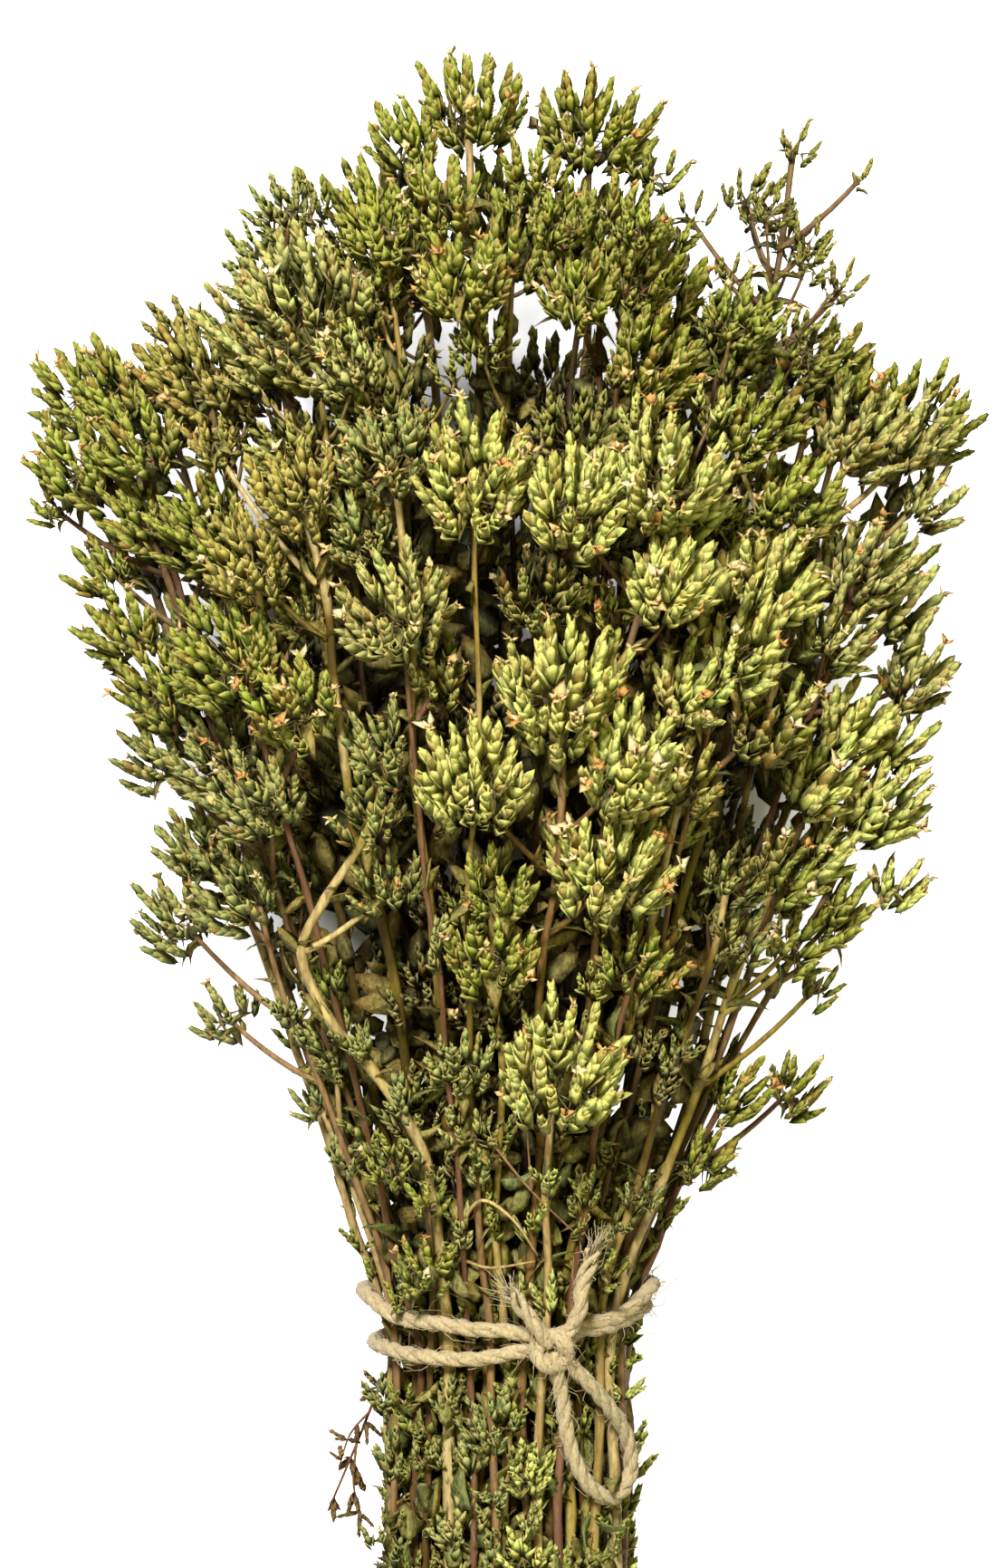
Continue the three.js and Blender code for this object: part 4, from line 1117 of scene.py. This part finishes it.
def find_shoots(random):
    """Free places among the heads for small shoots."""
    heads = [head for stem in stems for head in stem.heads]
    middles = [head.middle for head in heads]
    radii = [head.radius for head in heads]
    shoots = []
    for _ in range(SHOOT_TRIES):
        along, turn = random.uniform(20, 192), random.uniform(0, 2 * math.pi)
        out = random.uniform(0.42, 0.82)
        x = half_across(min(along, WIDEST_AT)) * out * math.sin(turn)
        z = half_depth(min(along, CROWN_ALONG)) * out * math.cos(turn)
        middle = np.array([TIE[0] + x, TIE[1] + along, axis_height(along) + z])
        bare = np.linalg.norm(CLEARINGS[:, :2] - [x, along], axis=1) < CLEARINGS[:, 2]
        if bare.any() and middle[2] > axis_height(along) - CLEARING_DEPTH:
            continue
        gaps = np.linalg.norm(np.array(middles) - middle, axis=1)
        radius = min(SHOOT_LARGEST, (gaps - HEAD_CORE_SHARE * np.array(radii)).min())
        alone = (gaps[:len(heads)] < ROUND_WITHIN).sum() < HEADS_ROUND
        if radius < SHOOT_SMALLEST or alone or middle[2] < LOWEST_SHOOT:
            continue
        axis = unit(np.array([x, 0, z]) / SHOOT_FAN + [0, 1, 0] + random.normal(0, 0.25, 3))
        shoots.append(Shoot(middle, radius, axis))
        middles.append(middle)
        radii.append(radius)
        if len(shoots) == MOST_SHOOTS:
            break
    return shoots


shoots = find_shoots(np.random.default_rng(411))
for k, (across, along, radius) in enumerate(CRUSHED):
    axis = unit(np.array([uneven(k, 3) - 0.5, 1.0, 0.35]))
    shoots.append(Shoot(on_neck(across, along, 0.2), radius, axis, crushed=True))
for stem in stems:
    stem.shoots = []
for shoot in shoots:
    level = shoot.foot[1] - TIE[1] - LOOKS_BELOW
    point_at = on_stem if shoot.crushed else on_drawn_stem
    near = min(stems, key=lambda stem: np.linalg.norm(point_at(stem, level) - shoot.foot))
    near.shoots.append(shoot)
print(len(shoots), "small shoots")

# %% [markdown]
# Leaves sit at the nodes of every stem in crossed pairs, and there are more of them where the stems are
# squeezed together. The twine would cut through a leaf that lies under it, so leaves keep clear of it.

# %% One leaf
TWINE_ROUTES = np.concatenate([turns_route, loop_route, *end_routes])
TWINE_POINTS = np.concatenate([TWINE_ROUTES, (TWINE_ROUTES[1:] + TWINE_ROUTES[:-1]) / 2])


def near_twine(point, room):
    return np.linalg.norm(TWINE_POINTS - point, axis=1).min() < room


def around(path, k, turn):
    """The stem's direction at a node, and the direction square to it at this turn."""
    up = unit(path[k + 1] - path[k - 1])
    side = unit(np.cross(up, [0.1, 0, 1.0]))
    return up, side * math.cos(turn) + np.cross(side, up) * math.sin(turn)


def add_leaf(heap, place, direction, face, size, random, fineness=FINE, light=1.0):
    side = unit(np.cross(direction, face))
    turn = np.stack([side, direction, np.cross(side, direction)]) * size
    shape, faces, tones = LEAVES[fineness][random.integers(0, len(LEAVES[fineness]))]
    tones = tones + [0, random.random(), 0]
    tint = LEAF_TINTS[random.integers(0, len(LEAF_TINTS))] * random.uniform(0.75, 1.2) * light
    heap.add_copies((shape, faces, tones), turn[None], place[None], LEAF, tint[None])


print("leaves keep clear of", len(TWINE_POINTS), "points of the twine")

# %% Leaves at the nodes of a stem
LEAFY_TO, LEAFIEST_TO, LARGE_TO = 55, 5, 60
OUTER_STEMS, LEAF_LIMIT, LOWEST_LEAF = 0.62, 1.03, 2
TIP_ROOM, LEAF_ROOM = 3.5, 3
SEEN_FROM, UNDER_FROM = 6, 5
NARROW_TO, INNER_EDGE, NARROW_INNER_EDGE = 35, 0.72, 0.9
INNER_TOP, HEAVY_FROM, SMALL_FROM, DEEP_LEAF_SHADE_FROM = 156, 70, 130, 140
# How dark painted shade makes the inner leaves, and the darkest of them.
INNER_LEAF_SHADE, DEEP_LEAF_SHADE = 0.55, 0.35


def add_leaf_pairs(heap, path, random):
    """Pairs of leaves at the nodes, with more of them where the bunch is narrow."""
    for k in range(1, len(path) - 1):
        along, place = path[k][1] - TIE[1], path[k]
        out = math.hypot(*section_place(place))
        crowded = along < LEAFY_TO and out > OUTER_STEMS
        count = (5 if along < LEAFIEST_TO else 3) if crowded else 2
        for j in range(count):
            up, outward = around(path, k, math.pi / 2 * k + math.pi * j + random.normal(0, 0.5))
            size = random.uniform(4, 8) if along < LARGE_TO else random.uniform(3.5, 5.5)
            lift = random.uniform(0.2, 0.9)
            start = place + up * random.uniform(-4, 4) * (j > 1)
            direction = unit(up * random.choice([1, 1, 1, -0.6]) + outward * lift)
            tip = start + direction * size
            if math.hypot(*section_place(tip)) > LEAF_LIMIT or tip[2] < LOWEST_LEAF:
                direction = unit(up - outward * lift)
            fine = out > OUTER_STEMS and place[2] > axis_height(along) - SEEN_FROM
            middle, tip = start + direction * size / 2, start + direction * size
            if near_twine(tip, TIP_ROOM) or near_twine(middle, LEAF_ROOM):
                continue
            add_leaf(heap, start, direction, outward + random.normal(0, 0.5, 3), size, random,
                     FINE if fine else PLAIN, shade(place))


def add_inner_leaves(heap, path, random):
    """Leaves on the shaded and lower stems, darkened with painted shade. They close the view through the
    bunch, so its gaps look dark.
    """
    for k in range(1, len(path) - 1):
        along = path[k][1] - TIE[1]
        narrow = along < NARROW_TO
        inside = how_far_out(path[k]) < (NARROW_INNER_EDGE if narrow else INNER_EDGE)
        under = path[k][2] < axis_height(along) - UNDER_FROM
        if along > INNER_TOP or not inside and not under:
            continue
        for _ in range(10 if under and along > HEAVY_FROM else 6):
            up, outward = around(path, k, random.uniform(0, 2 * math.pi))
            direction = unit(up * random.uniform(-0.3, 1.6) + outward)
            start = path[k] + up * random.uniform(-7, 7) + outward * random.uniform(0, 3)
            size = random.uniform(5, 8) if narrow or along > SMALL_FROM else random.uniform(6.5, 11)
            tip = start + direction * size
            if tip[2] < 1 or math.hypot(*section_place(tip)) > 1:
                continue
            # Painted shade: the inner leaves are darker still, most of all low in the neck and high in the
            # crown.
            leaf_shade = DEEP_LEAF_SHADE if along < LARGE_TO or along > DEEP_LEAF_SHADE_FROM else INNER_LEAF_SHADE
            add_leaf(heap, start, direction, [0, 0, 1.0], size, random, PLAIN, leaf_shade * shade(start))


def add_head_leaves(heap, head, random, count, fineness):
    """The small leaves under a head, where its stalk forks."""
    for k in range(count):
        turn = 2 * math.pi * (k + random.random()) / count
        across = frames_along(head.axis[None], np.array([turn]))[0][0]
        out = unit(across + head.axis * random.uniform(0.1, 0.9))
        size = random.uniform(0.55, 0.9) * min(head.radius, 10)
        place = head.foot - head.axis * random.uniform(0, 2.5)
        add_leaf(heap, place, out, head.axis, size, random, fineness, shade(place))


trial = Heap()
add_leaf_pairs(trial, stems[0].line, np.random.default_rng(0))
print("the first stem's pairs come to about", len(trial.faces), "leaves")

# %% [markdown]
# At the neck the stems are bare wood only in part. Short shoots and larger curled leaves lie crushed
# between and on them, most of all below the twine, and they leave room for the twine itself.

# %% Buds and leaves crushed at the neck
BUDS_TO, SQUEEZED_TO, OUTER_BUDS = 72, 8, 0.7
NECK_LEAVES = np.arange(-80, 40, 12)
TWINE_HALF_WAY, ON_TOP = 8, 0.45
CRUSHED_ROOM, BUD_ROOM, BUD_RISE = 6, 4, 0.9
CRUSHED_DULL = [0.72, 0.78, 0.8]


def add_buds(heap, path, stem, random):
    """Short shoots of small bracts at the nodes of the lower stem, crushed between the stems."""
    for k in range(1, len(path) - 1):
        place = path[k]
        along, out = place[1] - TIE[1], math.hypot(*section_place(place))
        chance = 0.3 if out < OUTER_BUDS else 0.97 if along < SQUEEZED_TO else 0.5
        if along > BUDS_TO or random.random() > chance:
            continue
        facing = place[2] > axis_height(along)
        seen = out > OUTER_BUDS and facing
        under_twine = near_twine(place, CRUSHED_ROOM)
        count = 1 if under_twine else random.integers(3, 9) if seen else random.integers(1, 4)
        start = place + around(path, k, 0)[0] * random.uniform(-5, 5)
        rest = np.array([0, 0, BUD_RISE if facing and not under_twine else 0.0])
        tint = TINTS[stem.tint] * CRUSHED_DULL * shade(place)
        for _ in range(count):
            up, outward = around(path, k, random.uniform(0, 2 * math.pi))
            direction = unit(outward * random.uniform(0.15, 0.7) + up * random.uniform(0.4, 1.3) + 0.4 * rest)
            bud = frames_along(direction[None], random.uniform(0, 6, 1)) * random.uniform(0.48, 0.85)
            shapes = SPIKELETS[PLAIN if seen else ROUGH]
            spot = start + rest + outward * 0.5 + up * random.uniform(-3, 3)
            if near_twine(spot + direction * 4, BUD_ROOM):
                continue
            heap.add_copies(shapes[random.integers(0, len(shapes))], bud, spot[None],
                            BRACT, tint[None] * random.uniform(0.6, 1.15))


def add_crushed_leaves(heap, stem, random):
    """Larger curled leaves that lie flat on the stems at the neck."""
    for along in NECK_LEAVES + random.uniform(-5, 5, len(NECK_LEAVES)):
        place = on_stem(stem, max(along, 0)) + [0, min(along, 0), 0]
        under = section_place(place)[1] < ON_TOP or abs(along - 1) < TWINE_HALF_WAY
        if under or random.random() < (0.4 if along < 0 else 0.7):
            continue
        way = random.normal(0, 0.45, 3) * [1, 1, 0.3]
        direction = unit(way + [0, random.choice([1.0, 1.0, -1.0]), 0.1])
        face = unit(np.array([place[0] / 30, 0, 1.0]) + random.normal(0, 0.7, 3))
        start = place + [random.uniform(-1.5, 1.5), 0, 1.3]
        size = random.uniform(5.5, 9.5)
        if not near_twine(start + direction * size / 2, CRUSHED_ROOM):
            add_leaf(heap, start, direction, face, size, random)


print("crushed leaves are tried at", len(NECK_LEAVES), "places on each stem")

# %% [markdown]
# Oregano stems are square, thicken a little at every node and bend there as they dry. So a stem is a tube
# through slightly shifted nodes, and everything that grows on it is added to the same heap.

# %% The wood of a stem
BOWED_THICKNESS, THINNEST, THICKER = 1.15, 0.64, 0.46
NODE_SWELLING, SQUARE_CORNERS = 1.16, 0.07


def stem_nodes(stem, random):
    """Points every 11 to 16 mm along the stem. A dry stem has a slight bend at each."""
    along = np.concatenate([[0], np.cumsum(np.linalg.norm(np.diff(stem.line, axis=0), axis=1))])
    count = max(6, int(along[-1] / random.uniform(11, 16)))
    at = np.linspace(0, along[-1], count) + np.concatenate([[0], random.normal(0, 1.5, count - 2), [0]])
    fine = np.stack([np.interp(at, along, stem.line[:, k]) for k in range(3)], axis=1)
    wave = 0.7 * np.sin(at[1:-1, None] / random.uniform(9, 16, 2) + random.uniform(0, 6, 2))
    fine[1:-1, [0, 2]] += random.normal(0, 0.35, (count - 2, 2)) + wave
    return fine


def add_wood(heap, stem, nodes, wood):
    steps, sides = (2, 6) if stem.hidden else (4, 8)
    path = curve_through(nodes, steps)
    thick = BOWED_THICKNESS if stem.number in BOWED else THINNEST + THICKER * uneven(stem.number, 9)
    radii = np.linspace(1.0, 0.6, len(path)) * thick
    radii = radii * np.where(np.arange(len(path)) % steps == 0, NODE_SWELLING, 1)
    lights = np.array([shade(point) for point in path])
    lights = np.concatenate([np.repeat(lights, sides, axis=0), lights[[0, -1]]])
    heap.add(tube(path, radii, sides, square=SQUARE_CORNERS), STEM, wood * lights)


print("the first stem has about", len(stem_nodes(stems[0], np.random.default_rng(0))), "nodes")

# %% One stem with its branches, leaves and heads
BRANCH_POINTS = 7
BRANCH_TAPER, SHOOT_TAPER = np.linspace(0.6, 0.42, BRANCH_POINTS), np.linspace(0.42, 0.3, BRANCH_POINTS)
BRANCH_SAG, SHOOT_SAG, SHOOT_STALK = 0.05, 2, 10


def bent_branch(start, end, sag):
    t = np.linspace(0, 1, BRANCH_POINTS)[:, None]
    return start + (end - start) * t + np.array([0, -1.0, 0]) * sag * 4 * t * (1 - t)


def add_branches(heap, stem, wood, random):
    for branch, head in zip(stem.branches, stem.heads[1:]):
        length = np.linalg.norm(branch[1] - branch[0])
        bent = tube(bent_branch(*branch, BRANCH_SAG * length), BRANCH_TAPER, 6)
        heap.add(bent, STEM, wood * shade(branch[0]) * 1.05)
        for side in (1, -1):
            out = (head.foot - branch[0]) * side * [1, 0, 1] + [0, 0.6 * length, 0]
            out = unit(out + random.normal(0, 1, 3))
            face = unit(random.normal(0, 0.4, 3) + [0, 1.0, 0.6])
            add_leaf(heap, branch[0], out, face, random.uniform(5, 8), random, light=shade(branch[0]))


def add_shoots(heap, stem, wood, random):
    for shoot in stem.shoots:
        if not shoot.crushed:
            start = on_drawn_stem(stem, shoot.foot[1] - TIE[1] - SHOOT_STALK)
            stalk = tube(bent_branch(start, shoot.foot, SHOOT_SAG), SHOOT_TAPER, 4)
            heap.add(stalk, STEM, wood * shade(shoot.foot))
        facing = shoot.middle[2] > axis_height(shoot.middle[1] - TIE[1]) - 5
        add_head(heap, shoot, stem.tint, random, PLAIN if facing else ROUGH)
        add_head_leaves(heap, shoot, random, 2, PLAIN)


def add_stem(heap, stem, random):
    wood = STEM_TINTS[3 if stem.number in BOWED else stem.number * 7 % len(STEM_TINTS)]
    nodes = stem_nodes(stem, random)
    add_wood(heap, stem, nodes, wood)
    add_leaf_pairs(heap, nodes, random)
    add_inner_leaves(heap, nodes, random)
    add_buds(heap, nodes, stem, random)
    add_crushed_leaves(heap, stem, random)
    add_branches(heap, stem, wood, random)
    add_shoots(heap, stem, wood, random)
    fineness = PLAIN if stem.hidden else FINE
    for head in stem.heads:
        add_head(heap, head, stem.tint, random, fineness)
        add_head_leaves(heap, head, random, 4, fineness)


trial = Heap()
add_stem(trial, stems[-1], np.random.default_rng(0))
print("a hidden stem has about", sum(map(len, trial.faces)), "triangles")

# %% [markdown]
# Some twigs belong to no head. Two thin ones curl across the gap above the twine, a forked one lies over
# the stems, and a withered sprig hangs out at the left, below the twine. Each is given as its colour, its
# thickness, its buds' size and its points as [across, along, height over the stems].

# %% Loose twigs
WITHERED = srgb(122, 84, 52)
TWIGS = [
    (STEM_TINTS[3], 0.36, 0, [[-8, 18, -4], [-4.3, 22.6, -2.4], [0.9, 19.4, -2], [5.1, 13, -3.5]]),
    (STEM_TINTS[0], 0.3, 0, [[-7, 12, -4], [-2.7, 11, -2.4], [4.7, 12, -3.5]]),
    (STEM_TINTS[1], 0.26, 0, [[-2.2, 32, -2.4], [4.1, 24.2, -1.4], [13, 15.2, -2.6]]),
    (STEM_TINTS[1], 0.24, 0, [[4.1, 24.2, -1.4], [3.6, 30, -1.6], [3.2, 36, -3]]),
    (WITHERED, 0.34, 0.5, [[-17.5, -3, -6], [-22, -12, -9], [-26, -22, -10], [-31, -34, -12]]),
    (WITHERED, 0.26, 0.42, [[-23.5, -16, -9], [-27, -20, -8], [-29, -26, -9]]),
    (WITHERED, 0.26, 0.46, [[-26, -22, -10], [-26.5, -29, -9], [-25, -35, -9]]),
]


def add_twig(heap, tint, thickness, buds, route, random):
    path = curve_through([on_neck(*point) for point in route], 5)
    heap.add(tube(path, np.linspace(thickness, 0.6 * thickness, len(path)), 5), STEM, tint)
    for place in path[len(path) // 3::3] if buds else []:
        for _ in range(3):
            direction = unit(random.normal(0, 0.7, 3) + unit(path[-1] - path[0]))
            bud = frames_along(direction[None], random.uniform(0, 6, 1)) * buds * random.uniform(0.7, 1.2)
            shape = SPIKELETS[PLAIN][random.integers(0, len(SPIKELETS[PLAIN]))]
            heap.add_copies(shape, bud, place[None], BRACT, tint[None] * random.uniform(0.7, 1.3))


for stem in stems:
    stem.twigs = []
for twig in TWIGS:
    start = on_neck(*twig[3][0])
    near = min(stems, key=lambda stem: np.linalg.norm(on_stem(stem, start[1] - TIE[1]) - start))
    near.twigs.append(twig)
print(len(TWIGS), "twigs, carried by stems", [stem.number + 1 for stem in stems if stem.twigs])

# %% The finished stems
pieces = []
for stem in stems:
    heap = Heap()
    random = np.random.default_rng(1000 + stem.number)
    add_stem(heap, stem, random)
    for twig in stem.twigs:
        add_twig(heap, *twig, random)
    name = f"stem_{stem.number + 1:02d}"
    piece = heap.make("oregano_" + name, PLANT_LOOKS)
    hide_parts(name)
    "herb_" + stem.tint
    pieces.append(piece)
print(len(pieces), "stems with", sum(len(piece.data.polygons) for piece in pieces), "triangles")

# %% [markdown]
# ## The twine
#
# Jute twine is three plies, twisted round each other, with loose fibres standing off all over. A plain tube
# with a bump would look like wire, so the plies are real: each follows the route at a distance and turns
# round it once every 11 mm.

# %% Twine plies and fibres
PLY_PITCH, PLY_RADIUS, PLY_OFF, PLY_SIDES = 11.0, 0.83, 0.54, 7
ROUTE_STEPS, CORD_STEP = 24, 0.55
FRAYED_LENGTH, END_FIBRES, FIBRES_PER_MM = 6, 30, 4
FRAY_SPREAD, FRAY_THINNER = 1.2, 0.55
END_FIBRE_RADII, FIBRE_RADII = [0.16, 0.1, 0.04], [0.07, 0.055, 0.03]
TWINE_TINT = srgb(190, 172, 136)


def even_path(points):
    fine = curve_through(points, ROUTE_STEPS)
    far = np.concatenate([[0], np.cumsum(np.linalg.norm(np.diff(fine, axis=0), axis=1))])
    at = np.linspace(0, far[-1], max(4, int(far[-1] / CORD_STEP)))
    return np.stack([np.interp(at, far, fine[:, k]) for k in range(3)], axis=1), at


def add_end_fibres(heap, path, random):
    """The fibres that fan out of a cut end."""
    for _ in range(END_FIBRES):
        start = path[len(path) - 1 - random.integers(0, 6)]
        out = unit(unit(path[-1] - path[-4]) + random.normal(0, 0.33, 3))
        middle = start + out * random.uniform(1.5, 3)
        end = start + (out + random.normal(0, 0.2, 3)) * 5
        heap.add(tube([start, middle, end], END_FIBRE_RADII, 3), 0, TWINE_TINT * random.uniform(0.9, 1.2))


def add_cord(heap, route, random, frayed=False):
    path, at = even_path(route)
    first, second = carried_frames(path)
    fray = np.clip((at - at[-1] + FRAYED_LENGTH) / FRAYED_LENGTH, 0, 1) * frayed
    for ply in range(3):
        turn = 2 * np.pi * (at / PLY_PITCH + ply / 3)
        off = PLY_OFF * (1 + FRAY_SPREAD * fray)
        ring = first * (np.cos(turn) * off)[:, None] + second * (np.sin(turn) * off)[:, None]
        strand = tube(path + ring, PLY_RADIUS * (1 - FRAY_THINNER * fray), PLY_SIDES)
        heap.add(strand, 0, TWINE_TINT * random.uniform(0.94, 1.05))
    if frayed:
        add_end_fibres(heap, path, random)
    for _ in range(int(at[-1] * FIBRES_PER_MM)):
        k = random.integers(0, len(path) - 1)
        turn = random.uniform(0, 2 * np.pi)
        out = first[k] * math.cos(turn) + second[k] * math.sin(turn)
        along = path[min(k + 1, len(path) - 1)] - path[max(k - 1, 0)]
        sway = unit(along) * random.normal(0, 1.2) + random.normal(0, 0.3, 3)
        start = path[k] + out * (PLY_OFF + 0.4)
        far = random.uniform(0.4, 3.2) * random.random() + 0.4
        line = [start, start + (out + sway) * 0.5 * far, start + (out * 0.7 + 2 * sway) * far * 0.6]
        heap.add(tube(line, FIBRE_RADII, 3), 0, TWINE_TINT * 1.1)


print("the turns have", len(even_path(turns_route)[0]), "points along each ply")


# %% The twine's colour and the finished twine
WRAP_ACROSS, WRAP_ALONG, WRAP_UP, WRAP_POINTS = 2.3, 2.6, 1.1, 18


def twine_look():
    look = Look("jute_twine", roughness=0.85, sheen_weight=0.3)
    fibres = look.noise(2200, 4, (1, 0.5, 1))
    streaks = look.ramp(fibres, (0.3, (0.6, 0.54, 0.45)), (0.65, (1.15, 1.13, 1.1)))
    look.paint("Base Color", look.mix(0.7, look.attribute("tint"), streaks, "MULTIPLY"))
    look.relief(fibres, 0.0004, 0.8)
    return look.material


def round_knot(turn):
    """A point of the cord that is wrapped twice round the knot."""
    across = WRAP_ACROSS * math.cos(turn) * (1 + 0.1 * turn / 6)
    along, up = WRAP_ALONG * math.sin(turn) - 0.5, WRAP_UP * math.sin(2 * turn) + 0.6
    return on_neck(*KNOT) + [across, along, up]


heap = Heap()
random = np.random.default_rng(77)
add_cord(heap, turns_route, random)
add_cord(heap, loop_route, random)
for route in end_routes:
    add_cord(heap, route, random, frayed=True)
wrap_route = np.array([round_knot(turn) for turn in np.linspace(0, 4 * math.pi, WRAP_POINTS)])
add_cord(heap, wrap_route, random)
twine_piece = heap.make("twine_jute", [twine_look()])
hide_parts("twine")
print("twine has", len(twine_piece.data.polygons), "triangles")

# %% [markdown]
# ## Floor, light and camera
#
# The bunch lies down, so the camera looks straight down on it and sees it as the photo does. The photo's
# ground is plain white. A white floor alone turns grey under a small light, so this one also glows, except
# where the bunch covers it: light from below would fill the dark gaps between the stems.

# %% The floor
FLOOR_SIZE, FLOOR_GLOW, FLOOR_COLOUR = 60.0, 0.95, (0.86, 0.84, 0.93, 1)
# Ovals that the bunch covers: (across, along, half width, half length).
COVERED = [(2, 106, 74, 84), (0, -35, 25, 110)]
GLOW_FROM, FULL_GLOW_AT = 0.62, 0.84


def glow_outside(look, ovals):
    """White outside every oval, and black well inside any of them."""
    place = look.node("ShaderNodeTexCoord", output="Object")
    nearest = 1.0
    for across, along, half_width, half_length in ovals:
        centre = ((TIE[0] + across) * MM, (TIE[1] + along) * MM, 0)
        offset = look.node("ShaderNodeVectorMath", {"operation": "SUBTRACT"}, {0: place, 1: centre})
        scale = (1 / (half_width * MM), 1 / (half_length * MM), 0)
        scaled = look.node("ShaderNodeVectorMath", {"operation": "MULTIPLY"}, {0: offset, 1: scale})
        far = look.node("ShaderNodeVectorMath", {"operation": "LENGTH"}, {0: scaled}, output="Value")
        nearest = far.maths("MINIMUM", far, nearest)
    return look.ramp(nearest, (GLOW_FROM, (0, 0, 0)), (FULL_GLOW_AT, (1, 1, 1)))


floor_mesh = bpy.data.meshes.new("floor")
half = FLOOR_SIZE / 2
corners = [(-half, -half, 0), (half, -half, 0), (half, half, 0), (-half, half, 0)]
floor_mesh.from_pydata(corners, [], [(0, 1, 2, 3)])
floor = bpy.data.objects.new("floor", floor_mesh)
bpy.context.scene.collection.objects.link(floor)
floor_look = Look("floor_paper", roughness=0.9, emission_strength=FLOOR_GLOW)
floor_look.paint("Base Color", FLOOR_COLOUR)
floor_look.paint("Emission Color", glow_outside(floor_look, COVERED))
floor_mesh.materials.append(floor_look.material)
floor.visible_diffuse = False
print("floor of", FLOOR_SIZE, "m with", len(COVERED), "ovals that don't glow")

# %% [markdown]
# The photo's light is warm and comes from the upper left, and it leaves deep shade. One large soft light
# would fill that shade, so the key light is a small disc. A weak yellow one from the right and a low one
# for the cut ends do the rest.

# %% Lights
# One row for each light: (name, place, target, size in metres, watts, colour).
LIGHTS = [("key_light", (-0.3, 0.75, 1.3), (0, 0.04, 0.05), 0.35, 39, (1, 0.985, 0.93)),
          ("fill_light", (0.8, -0.3, 1.2), (0, 0.04, 0.03), 1.0, 5, (1, 0.98, 0.6)),
          ("low_light", (0, -1.1, 0.28), (0, -0.1, 0.02), 0.5, 4, (1, 0.98, 0.9))]


def area_light(name, place, target, size, power, colour):
    data = bpy.data.lights.new(name, "AREA")
    data.shape, data.size, data.energy, data.color = "DISK", size, power, colour
    light = bpy.data.objects.new(name, data)
    bpy.context.scene.collection.objects.link(light)
    light.location = place
    aim = np.array(target) - np.array(place)
    yaw, pitch = math.atan2(-aim[0], aim[1]), math.atan2(math.hypot(aim[0], aim[1]), -aim[2])
    light.rotation_euler = (pitch, 0, yaw)


for row in LIGHTS:
    area_light(*row)
print("lights:", [row[0] for row in LIGHTS])

# %% [markdown]
# The sky is weak, stronger towards the top, and yellow, because the light in the real bunch's gaps has come
# off other dry bracts. A sky like that would look dull behind the bunch, so the camera sees plain white.

# %% The sky and the backdrop
SKY_STRENGTH, SKY_COLOUR, WHITE = 0.3, (0.98, 1, 0.26, 1), (1, 1, 1, 1)
world = bpy.data.worlds.new("studio")
world.use_nodes = True
nodes, link = world.node_tree.nodes, world.node_tree.links.new
sky = nodes["Background"]
backdrop = nodes.new("ShaderNodeBackground")
direction = nodes.new("ShaderNodeTexCoord")
split = nodes.new("ShaderNodeSeparateXYZ")
height = nodes.new("ShaderNodeMapRange")
seen = nodes.new("ShaderNodeLightPath")
choice = nodes.new("ShaderNodeMixShader")
link(direction.outputs["Generated"], split.inputs[0])
link(split.outputs["Z"], height.inputs["Value"])
height.inputs["To Max"].default_value = SKY_STRENGTH
link(height.outputs["Result"], sky.inputs["Strength"])
sky.inputs["Color"].default_value = SKY_COLOUR
backdrop.inputs["Color"].default_value = WHITE
link(seen.outputs["Is Camera Ray"], choice.inputs[0])
link(sky.outputs[0], choice.inputs[1])
link(backdrop.outputs[0], choice.inputs[2])
link(choice.outputs[0], nodes["World Output"].inputs["Surface"])
bpy.context.scene.world = world
bpy.context.scene.view_settings.view_transform = "Standard"
print("sky from 0 at the horizon to", SKY_STRENGTH, "overhead")

# %% [markdown]
# The camera hangs straight over the bunch. Its lens is worked out from the photo's own height and scale,
# at the height where most heads lie.

# %% The camera
PHOTO_HEIGHT, MM_PER_PIXEL = 1731, 0.15
VIEW_CENTRE = (-0.7, 91.9)
CAMERA_DISTANCE, SUBJECT_HEIGHT = 0.9, 0.055
SENSOR_WIDTH = 36
camera_data = bpy.data.cameras.new("camera")
camera_data.sensor_width = SENSOR_WIDTH
camera_data.lens = SENSOR_WIDTH * CAMERA_DISTANCE / (PHOTO_HEIGHT * MM_PER_PIXEL * MM)
camera = bpy.data.objects.new("camera", camera_data)
bpy.context.scene.collection.objects.link(camera)
across, along = (TIE[0] + VIEW_CENTRE[0]) * MM, (TIE[1] + VIEW_CENTRE[1]) * MM
camera.location = (across, along, SUBJECT_HEIGHT + CAMERA_DISTANCE)
bpy.context.scene.camera = camera
print("lens", round(camera_data.lens, 1), "mm")

# %% [markdown]
